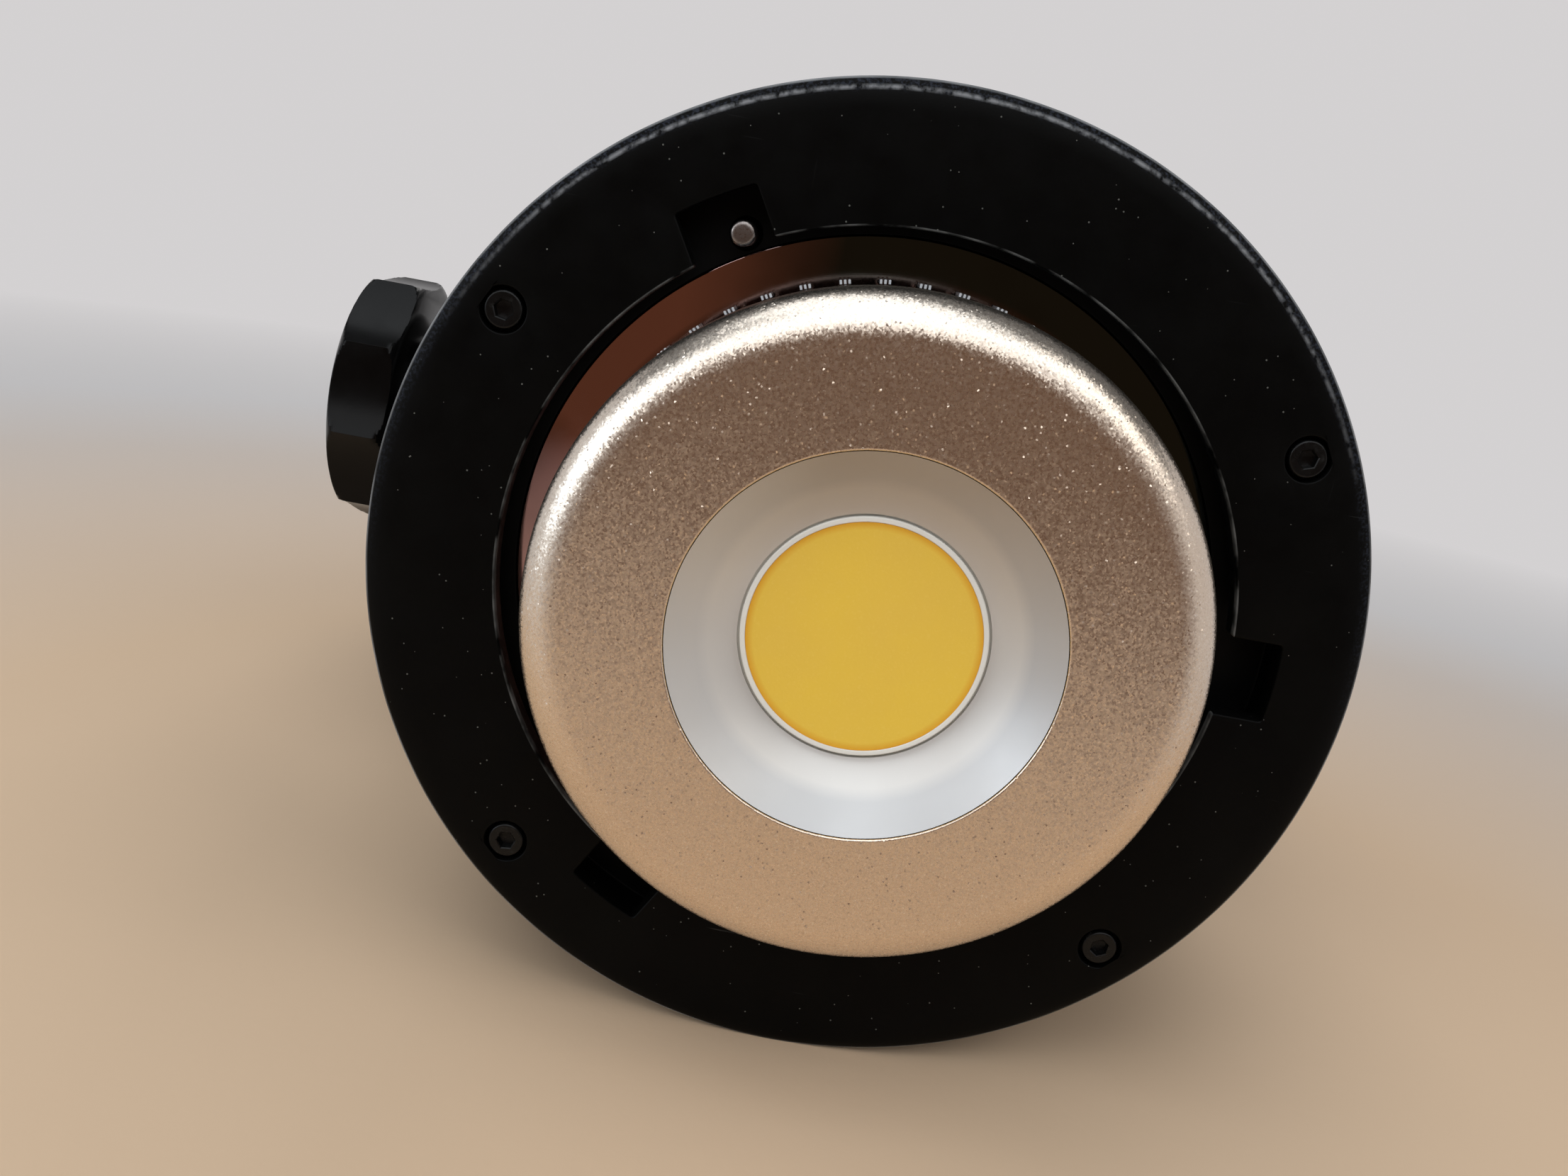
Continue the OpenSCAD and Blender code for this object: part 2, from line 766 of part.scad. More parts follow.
module lock_spring() {
    points = [for (i = [0:spring_last]) each spring_ring(i)];
    walls = [for (i = [0:spring_last - 1]) for (k = [0:spring_sides - 1])
        let (a = i * spring_sides + k, b = i * spring_sides + (k + 1) % spring_sides)
        each [[a, b, a + spring_sides], [b, b + spring_sides, a + spring_sides]]];
    first_cap = [for (k = [1:spring_sides - 2]) [0, k + 1, k]];
    last_cap = [for (k = [1:spring_sides - 2]) spring_last * spring_sides * [1, 1, 1] + [0, k, k + 1]];
    color("#8f8f8c") in_lock() translate([pin_r, lock_collar_back, 0]) rotate([-90, 0, 0])
        polyhedron(points, [for (f = concat(walls, first_cap, last_cap)) [f[0], f[2], f[1]]]);
}

module lock_bracket() {
    half = bracket_w / 2;
    low = pin_r - bracket_depth / 2;
    high = pin_r + bracket_depth / 2;
    color("#77787a") in_lock() {
        difference() {
            block([low, bracket_y, -half], [high, bracket_y + bracket_t, half]);
            translate([pin_r, 0, 0]) rod_y(stem_d + 2 * run, bracket_y - cut, bracket_y + bracket_t + cut);
        }
        for (s = [0, 1]) mirror([0, 0, s])
            block([low, lip_back, half - bracket_t], [high, bracket_y, half]);
    }
}

module release_tab() {
    thumb_in = shell_r + clear;
    thumb_y = (tab_y + tab_back - tab_thumb.y) / 2;
    color("#1a1a1a") in_lock() difference() {
        union() {
            block([pin_r - stem_d, tab_y, -tab_w / 2], [thumb_in + cut, tab_back, tab_w / 2]);
            block([thumb_in, thumb_y, -tab_thumb.z / 2],
                [thumb_in + tab_thumb.x - cut, thumb_y + tab_thumb.y, tab_thumb.z / 2]);
            for (i = [0:tab_grips - 1])
                translate([thumb_in + tab_thumb.x - cut, thumb_y + tab_thumb.y * (i + 0.5) / tab_grips, 0])
                    cylinder(d = tab_grip_d, h = tab_thumb.z - 2 * cut, center = true, $fn = 24);
        }
        translate([pin_r, 0, 0]) rod_y(stem_d + 2 * run, tab_y - cut, tab_back + cut);
    }
}

// Fan

module fan_frame() {
    half = fan_w / 2;
    corner = fan_corner;
    color("#202020") difference() {
        union() {
            difference() {
                union() {
                    block([-half, fan_front, corner - half], [half, fan_back, half - corner]);
                    block([corner - half, fan_front, -half], [half - corner, fan_back, half]);
                    for (x = [-1, 1], z = [-1, 1]) translate([x * (half - corner), 0, z * (half - corner)])
                        rod_y(2 * corner, fan_front, fan_back);
                }
                rod_y(fan_bore_d, fan_front - cut, fan_back + cut);
            }
            rod_y(fan_hub_d, fan_back - spider_t, fan_back);
            for (a = diagonals) at(a)
                block([0, fan_back - spider_t, -spider_w / 2],
                    [fan_bore_d / 2 + cut, fan_back, spider_w / 2]);
        }
        rod_y(fan_shaft_d + 2 * run, fan_back - spider_t - cut, fan_back + cut);
        at_fan_screws() screw_hole(m4, fan_front - cut, fan_back + cut);
    }
}

module fan_rotor() {
    back = fan_back - spider_t - clear;
    front = fan_front + fan_wall;
    color("#2c2c2c") {
        rod_y(fan_hub_d, front, back);
        rod_y(fan_shaft_d, back, fan_back - clear);
        intersection() {
            rod_y(fan_bore_d - 2 * blade_gap, front + clear, back - clear);
            for (i = [0:blade_count - 1]) at(360 * i / blade_count) translate([0, (front + back) / 2, 0])
                rotate([blade_pitch, 0, 0]) block([fan_hub_d / 2 - spider_t, -fan_t, -blade_t / 2],
                    [fan_bore_d / 2, fan_t, blade_t / 2]);
        }
    }
}

module fan_screws() {
    color("#8a8a88") at_fan_screws() cap_screw(m4, fan_back, fan_back - fan_screw_len + cut);
}

// Shell, rods and rear

module shell() {
    vent_step = 360 / vent_count;
    color("#1d1d1d") difference() {
        rod_y(shell_d, ring_back, shell_back);
        rod_y(2 * shell_in_r, ring_back - cut, shell_back + cut);
        for (i = [0:vent_count - 1]) {
            angle = vent_step * (i + 0.5);
            if (abs(angle - lock_angle) > vent_lock_gap) at(angle)
                block([shell_in_r - shell_wall, vent_front_y[0], -vent_w / 2],
                    [shell_r + cut, vent_front_y[1], vent_w / 2]);
            at(angle) block([shell_in_r - shell_wall, vent_rear_y[0], -vent_w / 2],
                [shell_r + cut, vent_rear_y[1], vent_w / 2]);
        }
        in_lock() block([shell_in_r - shell_wall, tab_y - cut, -tab_w / 2 - clear],
            [shell_r + cut, tab_back + pin_travel + cut, tab_w / 2 + clear]);
        on_tilt_axis() for (y = [-1, 1]) translate([0, y * boss_screw_y, 0])
            rod_x(m4 + 2 * seat, -shell_r - cut, shell_r + cut);
    }
}

module tie_rods() {
    color("#a7a7a4") for (a = rod_angles) at(a, rod_r) difference() {
        union() {
            rod_y(rod_d, lip_back, driver_y);
            rod_y(m4, lip_back - stud_len + cut, lip_back);
        }
        screw_hole(m4, driver_y - rod_thread, driver_y + cut);
    }
}

module rear_standoffs() {
    color("#a7a7a4") for (a = rod_angles) at(a, rod_r) difference() {
        union() {
            rod_y(rod_d, driver_y + driver_t, shell_back);
            rod_y(m4, driver_y - rod_thread + cut, driver_y + driver_t);
        }
        screw_hole(m4, shell_back - rod_thread, shell_back + cut);
    }
}

// A place at each of the control board's four screws
module at_control_screws() {
    for (x = [-1, 1], z = [control_screw_low, control_screw_high])
        translate([x * control_screw_x, 0, z]) children();
}

module rear_panel() {
    edge = 2;
    body_l = rocker_l + 2 * rocker_room + 2 * switch_wall;
    body_w = rocker_w + 2 * rocker_room + 2 * switch_wall;
    color("#232323") difference() {
        union() {
            turned(concat([[0, shell_back], [shell_r, shell_back]],
                arc([shell_r - edge, panel_back - edge], edge, 0, 90), [[0, panel_back]]));
            turned([[lip_r - lip_wall, shell_back - lip_len], [lip_r, shell_back - lip_len],
                [lip_r, shell_back], [lip_r - lip_wall, shell_back]]);
            at_control_screws() rod_y(standoff_d, control_back, shell_back);
        }
        at_control_screws() screw_hole(m25, control_back - cut, shell_back);
        for (a = rod_angles) at(a, rod_r) screw_hole(m4, shell_back - cut, panel_back + cut);
        translate([0, 0, window_z]) {
            block([-window_w / 2 - seat, panel_back - window_t, -window_h / 2 - seat],
                [window_w / 2 + seat, panel_back + cut, window_h / 2 + seat]);
            block([window_lip - window_w / 2, shell_back - cut, window_lip - window_h / 2],
                [window_w / 2 - window_lip, panel_back + cut, window_h / 2 - window_lip]);
        }
        translate([0, 0, dial_z]) rod_y(shaft_d + 2 * clear, shell_back - cut, panel_back + cut);
        for (x = [-1, 1]) translate([x * button_x, 0, button_z])
            rod_y(button_d + 2 * clear, shell_back - cut, panel_back + cut);
        translate([switch_x, 0, switch_z]) block([-body_w / 2 - seat, shell_back - cut, -body_l / 2 - seat],
            [body_w / 2 + seat, panel_back + cut, body_l / 2 + seat]);
        translate([inlet_x, 0, inlet_z]) block([-inlet_w / 2 - seat, shell_back - cut, -inlet_h / 2 - seat],
            [inlet_w / 2 + seat, panel_back + cut, inlet_h / 2 + seat]);
        for (s = [-1, 1], i = [-2:2]) translate([s * panel_vent_x, 0, i * panel_vent_step])
            block([-panel_vent_w / 2, shell_back - cut, -panel_vent_h / 2],
                [panel_vent_w / 2, panel_back + cut, panel_vent_h / 2]);
    }
}

module rear_screws() {
    color("#2a2a2a") for (a = rod_angles) at(a, rod_r)
        cap_screw(m4, panel_back, shell_back - rod_thread + cut);
}

// A place at each of the driver board's four standoffs
module at_standoffs() {
    for (x = [-1, 1], z = [-1, 1]) translate([x * standoff_x, 0, z * standoff_z]) children();
}

module driver_plate() {
    color("#b4b6b8") difference() {
        union() {
            rod_y(2 * driver_r, driver_y, driver_y + driver_t);
            at_standoffs() rod_y(standoff_d, driver_board_back, driver_y);
        }
        for (a = rod_angles) at(a, rod_r) screw_hole(m4, driver_y - cut, driver_y + driver_t + cut);
        at_standoffs() screw_hole(m3, driver_board_back - cut, driver_y + driver_t + cut);
        for (p = inlet_pins) translate([inlet_x + p.x, 0, inlet_z + p.y])
            rod_y(lead_d + 4 * clear, driver_y - cut, driver_y + driver_t + cut);
        rod_y(lead_window_d, driver_y - cut, driver_y + driver_t + cut);
    }
}

module driver_board() {
    color("#1f5a3a") difference() {
        intersection() {
            block([-driver_board_w / 2, driver_board_front, -driver_board_h / 2],
                [driver_board_w / 2, driver_board_back, driver_board_h / 2]);
            rod_y(2 * driver_board_r, driver_board_front - cut, driver_board_back + cut);
        }
        at_standoffs() screw_hole(m3, driver_board_front - cut, driver_board_back + cut);
    }
}

module board_screws() {
    color("#9a9a98") at_standoffs() cap_screw(m3, driver_board_front, driver_board_back + standoff_h);
}

module transformer() {
    front = driver_board_front - part_h;
    half_w = 18;
    half_h = 15;
    core = 6;
    cheek = 5;
    winding_d = 26;
    color("#c8a23a") translate([transformer_x, 0, transformer_z]) {
        block([-half_w, front, -half_h], [half_w, front + cheek, half_h]);
        block([-half_w, driver_board_front - cheek, -half_h], [half_w, driver_board_front, half_h]);
        block([-half_w, front, -core], [half_w, driver_board_front, core]);
        rod_y(winding_d, front + cheek, driver_board_front - cheek);
    }
}

module capacitors() {
    color("#23304f") for (z = capacitor_z) translate([capacitor_x, 0, z])
        rod_y(capacitor_d, driver_board_front - part_h, driver_board_front);
}

module choke() {
    ring = 9;
    wire = 4;
    color("#b5652a") translate([choke_x, driver_board_front - ring - wire, choke_z]) {
        rotate([0, 90, 0]) rotate_extrude() translate([ring, 0]) circle(r = wire, $fn = 32);
        block([-wire, ring, -ring / 2], [wire, ring + wire, ring / 2]);
    }
}

module mains_leads() {
    y1 = panel_back - inlet_depth - inlet_tab;
    color("#3a5f9a") for (p = inlet_pins) translate([inlet_x + p.x, 0, inlet_z + p.y])
        rod_y(lead_d, driver_board_back, y1);
}

module control_board() {
    color("#1f5a3a") difference() {
        union() {
            block([-control_board_w / 2, control_board_y, control_board_low],
                [control_board_w / 2, control_back, control_board_high]);
            for (x = [-1, 1]) translate([x * button_x, 0, button_z])
                block([-key_w / 2, control_back, -key_w / 2], [key_w / 2, control_back + key_h, key_w / 2]);
            translate([0, 0, dial_z]) block([-encoder_w / 2, control_back, -encoder_w / 2],
                [encoder_w / 2, control_back + encoder_h, encoder_w / 2]);
        }
        translate([0, 0, dial_z])
            rod_y(shaft_d + 2 * run, control_back + encoder_h - encoder_bore, shell_back);
        at_control_screws() screw_hole(m25, control_board_y - cut, control_back + cut);
    }
}

module control_screws() {
    color("#9a9a98") at_control_screws() cap_screw(m25, control_board_y, shell_back - 2 * cut);
}

module display() {
    color("#2b3a34") block([-window_w / 2 - cut, control_back, window_z - window_h / 2 - cut],
        [window_w / 2 + cut, shell_back - seat, window_z + window_h / 2 + cut]);
}

module display_window() {
    color("#0c0f12") block([-window_w / 2, panel_back - window_t, window_z - window_h / 2],
        [window_w / 2, panel_back, window_z + window_h / 2]);
}

dial_front = panel_back + dial_gap;
dial_cap = 2;
module encoder_shaft() {
    color("#b9b7b2") translate([0, 0, dial_z])
        rod_y(shaft_d, control_back + encoder_h - encoder_bore + run, dial_front + dial_len - dial_cap - run);
}

module dial() {
    edge = 1.5;
    dial_r = dial_d / 2;
    color("#191919") translate([0, 0, dial_z]) difference() {
        turned(concat([[0, dial_front], [dial_r, dial_front]],
            arc([dial_r - edge, dial_front + dial_len - edge], edge, 0, 90), [[0, dial_front + dial_len]]));
        rod_y(shaft_d + 2 * run, dial_front - cut, dial_front + dial_len - dial_cap);
        for (i = [0:dial_grips - 1]) at(360 * i / dial_grips, dial_r + dial_grip_out)
            rod_y(dial_grip_d, dial_front + edge, dial_front + dial_len + cut);
    }
}

module button(x) {
    flange_back = shell_back - clear;
    key_top = control_back + key_h;
    color("#3b3b3b") translate([x, 0, button_z]) {
        rod_y(button_d, flange_back, panel_back + button_proud);
        rod_y(button_d + button_flange, flange_back - button_flange_t, flange_back);
        rod_y(button_d / 2, key_top + button_travel + clear / 2, flange_back - button_flange_t);
    }
}
module button_left() {
    button(-button_x);
}
module button_right() {
    button(button_x);
}

module switch_body() {
    cavity_l = rocker_l + 2 * rocker_room;
    cavity_w = rocker_w + 2 * clear;
    body_l = rocker_l + 2 * rocker_room + 2 * switch_wall;
    body_w = rocker_w + 2 * rocker_room + 2 * switch_wall;
    color("#1b1b1b") translate([switch_x, 0, switch_z]) difference() {
        union() {
            block([-body_w / 2, panel_back - switch_depth, -body_l / 2],
                [body_w / 2, panel_back, body_l / 2]);
            block([-body_w / 2 - switch_bezel, panel_back, -body_l / 2 - switch_bezel],
                [body_w / 2 + switch_bezel, panel_back + switch_bezel_t, body_l / 2 + switch_bezel]);
        }
        block([-cavity_w / 2, rocker_pivot_y - rocker_depth, -cavity_l / 2],
            [cavity_w / 2, panel_back + switch_bezel_t + cut, cavity_l / 2]);
        translate([0, rocker_pivot_y, 0])
            rod_x(rocker_pin_d + 2 * run, -body_w / 2 + switch_wall / 2, body_w / 2 - switch_wall / 2);
    }
}

module rocker() {
    half = rocker_l / 2;
    high = 5.6;
    dip = 1.4;
    side = 2.2;
    foot = 2.6;
    pin_half = rocker_w / 2 + rocker_room + switch_wall / 2 - run;
    color("#2a2a2a") translate([switch_x, rocker_pivot_y, switch_z]) rotate([-rocker_tilt, 0, 0]) {
        rotate([90, 0, 90]) linear_extrude(rocker_w, center = true)
            polygon([[side, -half], [high, -half], [high - dip, 0], [high, half], [side, half],
                [-side, foot], [-side, -foot]]);
        rod_x(rocker_pin_d, -pin_half, pin_half);
    }
}

module mains_inlet() {
    half = inlet_w / 2;
    rise = inlet_h / 2;
    front = panel_back - inlet_depth;
    chamfer = 5;
    in_w = inlet_cavity_w / 2;
    in_h = inlet_cavity_h / 2;
    cavity_y = panel_back + inlet_rim_t - inlet_cavity;
    color("#181818") translate([inlet_x, 0, inlet_z]) difference() {
        union() {
            block([-half, front, -rise], [half, panel_back, rise]);
            block([-half - inlet_rim, panel_back, -rise - inlet_rim],
                [half + inlet_rim, panel_back + inlet_rim_t, rise + inlet_rim]);
        }
        translate([0, cavity_y, 0]) rotate([-90, 0, 0]) linear_extrude(inlet_cavity + cut)
            polygon([[-in_w, in_h], [in_w, in_h], [in_w, chamfer - in_h], [in_w - chamfer, -in_h],
                [chamfer - in_w, -in_h], [-in_w, chamfer - in_h]]);
        for (p = inlet_pins) translate([p.x, 0, p.y])
            block([-inlet_pin.x / 2 - run, front - cut, -inlet_pin.y / 2 - run],
                [inlet_pin.x / 2 + run, cavity_y + cut, inlet_pin.y / 2 + run]);
    }
}

module inlet_pins() {
    color("#c9b26a") for (p = inlet_pins) translate([inlet_x + p.x, 0, inlet_z + p.y])
        block([-inlet_pin.x / 2, panel_back - inlet_depth - inlet_tab, -inlet_pin.y / 2],
            [inlet_pin.x / 2, panel_back + inlet_rim_t - inlet_pin_end, inlet_pin.y / 2]);
}

// Tilt joint and yoke

module pivot_bosses() {
    edge = 2;
    color("#191919") on_tilt_axis() for (s = [0, 1]) mirror([s, 0, 0]) difference() {
        rotate([0, 90, 0]) rotate_extrude() polygon(concat(
            [[0, shell_in_r - shell_wall], [boss_d / 2, shell_in_r - shell_wall]],
            arc([boss_d / 2 - edge, boss_face - edge], edge, 0, 90), [[0, boss_face]]));
        rod_y(shell_d, -boss_d, boss_d);
        rod_x(stud_d + 2 * run, stud_in - cut, boss_face + cut);
        for (y = [-1, 1]) translate([0, y * boss_screw_y, 0])
            rod_x(m4 + 2 * seat, shell_r - cut, shell_in_r + boss_screw_len + cut);
    }
}

module boss_screws() {
    color("#8a8a88") on_tilt_axis() for (s = [0, 1], y = [-1, 1]) mirror([s, 0, 0])
        translate([0, y * boss_screw_y, 0]) rotate([0, 0, -90])
            cap_screw(m4, shell_in_r - seat, shell_in_r + boss_screw_len);
}

module washer(d, x0, x1) {
    difference() {
        rod_x(d, x0, x1);
        rod_x(stud_d + 2 * run, x0 - cut, x1 + cut);
    }
}

module friction_washers() {
    color("#3d2f22") on_tilt_axis() for (s = [0, 1]) mirror([s, 0, 0])
        washer(friction_d, boss_face, boss_face + friction_t);
}

module tilt_stud() {
    color("#b0b0ad") on_tilt_axis() rod_x(stud_d, -(knob_end - knob_cap - clear), -stud_in);
}

module pivot_bolt() {
    color("#303030") on_tilt_axis() rotate([0, 0, -90]) cap_screw(stud_d, arm_out + washer_t, stud_in);
}

module pivot_washers() {
    color("#9c9c99") on_tilt_axis() for (s = [0, 1]) mirror([s, 0, 0])
        washer(washer_d, arm_out + run, arm_out + washer_t);
}

module tilt_knob() {
    ridge_r = knob_d / 2;
    half_chord = ridge_r * sin(180 / flute_count);
    flute_r = (pow(half_chord, 2) + pow(flute_sag, 2)) / (2 * flute_sag);
    flute_c = ridge_r * cos(180 / flute_count) - flute_sag + flute_r;
    neck_face = knob_face - knob_neck + run;
    color("#1e1d1b") on_tilt_axis() mirror([1, 0, 0]) difference() {
        rotate([0, 90, 0]) rotate_extrude() polygon(concat(
            [[0, neck_face], [knob_neck_d / 2, neck_face], [knob_neck_d / 2, knob_face]],
            arc([ridge_r - knob_edge, knob_face + knob_edge], knob_edge, -90, 0, 3),
            arc([ridge_r - knob_edge, knob_end - knob_edge], knob_edge, 0, 90, 3), [[0, knob_end]]));
        for (i = [0:flute_count - 1]) rotate([360 * (i + 0.5) / flute_count + ridge_turn, 0, 0])
            translate([0, -flute_c, 0]) rod_x(2 * flute_r, knob_face - cut, knob_end + cut);
        rod_x(stud_d + 2 * run, knob_face - knob_neck - cut, knob_end - knob_cap);
    }
}

module yoke() {
    half = bar_w / 2;
    color("#1a1a1a") in_yoke() difference() {
        union() {
            block([bend_r - arm_out, -half, -yoke_reach], [arm_out - bend_r, half, -base_in]);
            for (s = [0, 1]) mirror([s, 0, 0]) {
                block([arm_in, -half, bend_r - yoke_reach], [arm_out, half, 0]);
                rod_x(bar_w, arm_in, arm_out);
                translate([arm_out - bend_r, 0, bend_r - yoke_reach]) rotate([90, 0, 0])
                    linear_extrude(bar_w, center = true) intersection() {
                        difference() {
                            circle(r = bend_r);
                            circle(r = bend_r - bar_t);
                        }
                        translate([0, -bend_r]) square(bend_r);
                    }
            }
        }
        rod_x(stud_d + 2 * run, -arm_out - cut, arm_out + cut);
        translate([0, 0, -yoke_reach - cut]) cylinder(d = spigot_d + 2 * clear, h = bar_t + 2 * cut);
        at_socket_bolts() {
            translate([0, 0, -yoke_reach - cut]) cylinder(d = m4 + 2 * seat, h = bar_t + 2 * cut);
            translate([0, 0, -yoke_reach - cut]) cylinder(d = head_d(m4) + 2 * seat, h = m4 + seat + cut);
        }
    }
}

module at_socket_bolts() {
    for (x = [-1, 1], y = [-1, 1]) translate([x * socket_bolt, y * socket_bolt, 0]) children();
}

module stand_socket() {
    half = socket_w / 2;
    color("#1a1a1a") in_yoke() difference() {
        block([-half, -half, -base_in], [half, half, -socket_top]);
        translate([0, 0, -base_in - cut]) cylinder(d = spigot_d, h = spigot_depth - bar_t + cut);
        translate([0, 0, umbrella_z]) rod_y(umbrella_d, -half - cut, half + cut);
        translate([0, 0, stand_screw_z]) rod_x(stand_screw_d + 2 * run, 0, half + cut);
        translate([0, 0, umbrella_z]) rod_x(umbrella_screw_d + 2 * run, -half - cut, 0);
        at_socket_bolts() translate([0, 0, -base_in - cut])
            cylinder(d = m4 + 2 * seat, h = socket_bolt_len + cut);
    }
}

module socket_bolts() {
    color("#2a2a2a") in_yoke() at_socket_bolts() translate([0, 0, -yoke_reach + m4 + seat]) rotate([90, 0, 0])
        cap_screw(m4, 0, socket_bolt_len);
}

module stand_screw() {
    half = socket_w / 2;
    color("#242424") in_yoke() translate([0, 0, stand_screw_z]) {
        rod_x(stand_screw_d, spigot_d / 2 + tip_gap, half + stand_neck);
        rod_x(2 * stand_screw_d, half + clear + cut, half + stand_neck);
        hand_knob(stand_knob_d, half + stand_neck, half + stand_neck + stand_knob_t);
    }
}

module umbrella_screw() {
    half = socket_w / 2;
    color("#242424") in_yoke() translate([0, 0, umbrella_z]) mirror([1, 0, 0]) {
        rod_x(umbrella_screw_d, umbrella_d / 2 + tip_gap, half + umbrella_neck + cut);
        hand_knob(umbrella_knob_d, half + umbrella_neck, half + umbrella_neck + umbrella_knob_t);
    }
}

mount_flange();
flange_screws();
mount_ring();
recess_plate();
rib_collar();
collar_screws();
lamp_cup();
reflector();
led_dam();
led_phosphor();
led_board();
led_holder();
led_screws();
heat_spreader();
heat_sink();
sink_screws();
led_leads();
lock_pin();
lock_spring();
lock_bracket();
release_tab();
fan_frame();
fan_rotor();
fan_screws();
shell();
tie_rods();
rear_standoffs();
rear_panel();
rear_screws();
driver_plate();
driver_board();
board_screws();
transformer();
capacitors();
choke();
mains_leads();
control_board();
control_screws();
display();
display_window();
encoder_shaft();
dial();
button_left();
button_right();
switch_body();
rocker();
mains_inlet();
inlet_pins();
pivot_bosses();
boss_screws();
friction_washers();
tilt_stud();
pivot_bolt();
pivot_washers();
tilt_knob();
yoke();
stand_socket();
socket_bolts();
stand_screw();
umbrella_screw();
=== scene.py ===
from functools import partial
from math import asin, cos, degrees, pi, radians, sin, sqrt, tan

import bmesh
import bpy
from mathutils import Matrix, Vector


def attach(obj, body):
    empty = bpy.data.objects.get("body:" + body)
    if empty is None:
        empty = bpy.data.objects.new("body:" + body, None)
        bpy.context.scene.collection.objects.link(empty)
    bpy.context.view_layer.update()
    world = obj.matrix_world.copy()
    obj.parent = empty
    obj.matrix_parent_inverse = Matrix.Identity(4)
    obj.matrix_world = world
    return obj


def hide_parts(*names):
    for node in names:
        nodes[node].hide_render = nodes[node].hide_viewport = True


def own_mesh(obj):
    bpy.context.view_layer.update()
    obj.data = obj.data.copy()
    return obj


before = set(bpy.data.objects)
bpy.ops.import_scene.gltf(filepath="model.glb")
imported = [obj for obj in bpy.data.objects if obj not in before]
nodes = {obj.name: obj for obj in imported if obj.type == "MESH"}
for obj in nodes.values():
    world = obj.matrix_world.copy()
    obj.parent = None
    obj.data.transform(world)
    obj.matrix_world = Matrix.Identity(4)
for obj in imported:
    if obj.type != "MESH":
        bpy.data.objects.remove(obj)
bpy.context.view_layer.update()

# The lamp's axis is Y, its front looks towards -Y, and Z is up. Sizes of pieces are in millimetres.
# Sizes in finishes and lights are in metres.
MM = 0.001
TURN = 2 * pi
scene = bpy.context.scene
scene.view_settings.view_transform = "Standard"

# Camera. The lamp lies rolled about its axis, so the camera leans by the same angle.
LAMP_ROLL = radians(10.8)


def leaned(x, y, z):
    """A place or direction in the upright picture, given in the lamp's own frame."""
    c, s = cos(LAMP_ROLL), sin(LAMP_ROLL)
    return Vector((x * c - z * s, y, x * s + z * c))


camera_data = bpy.data.cameras.new("camera")
camera_data.sensor_width = 36
camera_data.lens = 30.92
camera_data.clip_start = 0.01
camera = bpy.data.objects.new("camera", camera_data)
scene.collection.objects.link(camera)
camera_right = leaned(0.99935, 0.03477, -0.00912)
camera_up = leaned(0, 0.25376, 0.96727)
camera_back = camera_right.cross(camera_up)
camera_turn = Matrix((camera_right, camera_up, camera_back)).transposed().to_4x4()
camera.matrix_world = Matrix.Translation(leaned(-4.3, -191.3, 53.4) * MM) @ camera_turn
scene.camera = camera


# Main sizes and places

FLANGE_R = 74
FLANGE_BACK = 4
BORE_R = 54.5
SLOT_R = 62
SLOT_HALF_WIDTH = 6.0
FLANGE_SCREW_R = 66.8
FLANGE_SCREW_TURNS = {30: 12, 150: 41, 225: 23, 315: 5}
RECESS_FLOOR = 9.5
RECESS_BACK = 11
CUP_R = 47
CUP_FRONT = -21.5
CUP_BACK = -10
COLLAR_FRONT = -17
DISH_R = 26.75
DISH_SEAT = -19.3
LED_R = 16.25
LED_BACK = -14.3
LOCK_R = 56.2
LOCK_ANGLE = 118.1
SHELL_R = 69
SHELL_START = 16
SHELL_END = 186
REAR = 190.0
PANE_BACK = 188
ROD_R = 61.9
ROD_SCREW_TURNS = {30: 10, 150: 34, 210: 52, 330: 21}
DIAL_PLACE = (0.0, -4.0)
BUTTON_PLACES = {"button_left": (-27.0, -4.0), "button_right": (27.0, -4.0)}
SWITCH_PLACE = (22.01, -40.02)
INLET_PLACE = (-16.01, -40.02)
WINDOW_PLACE = (0.0, 30.01)
TILT_Y = 105
YOKE_ANGLE = 70.079
BASE_BOLTS = [(x, y) for x in (-12.5, 12.5) for y in (-12.5, 12.5)]
STAND_SCREW_Z = -137
UMBRELLA_Z = -118.5
FLOOR_Z = -FLANGE_R


# Node trees

class Nodes:
    """A node tree that is filled by code. A short kind of node gets the tree's own prefix."""

    def __init__(self, tree, prefix):
        self.tree = tree
        self.prefix = prefix

    def feed(self, socket, value):
        """Links a socket to a node or to one of its outputs, or gives it a plain value."""
        if isinstance(value, bpy.types.Node):
            value = value.outputs[0]
        if isinstance(value, bpy.types.NodeSocket):
            self.tree.links.new(value, socket)
        else:
            socket.default_value = value

    def node(self, kind, settings=None, **sockets):
        """Adds a node with its settings. What feeds its sockets comes by name, or by number like i0."""
        made = self.tree.nodes.new(kind if "Node" in kind else self.prefix + kind)
        for key, value in (settings or {}).items():
            setattr(made, key, value)
        for key, value in sockets.items():
            numbered = key[0] == "i" and key[1:].isdigit()
            self.feed(made.inputs[int(key[1:]) if numbered else key.replace("_", " ")], value)
        return made

    def math(self, operation, a, b=0.0):
        return self.node("ShaderNodeMath", {"operation": operation}, i0=a, i1=b)

    def vector(self, operation, **sockets):
        return self.node("ShaderNodeVectorMath", {"operation": operation}, **sockets).outputs

    def xyz(self, **parts):
        return self.node("ShaderNodeCombineXYZ", **parts)


# Finishes

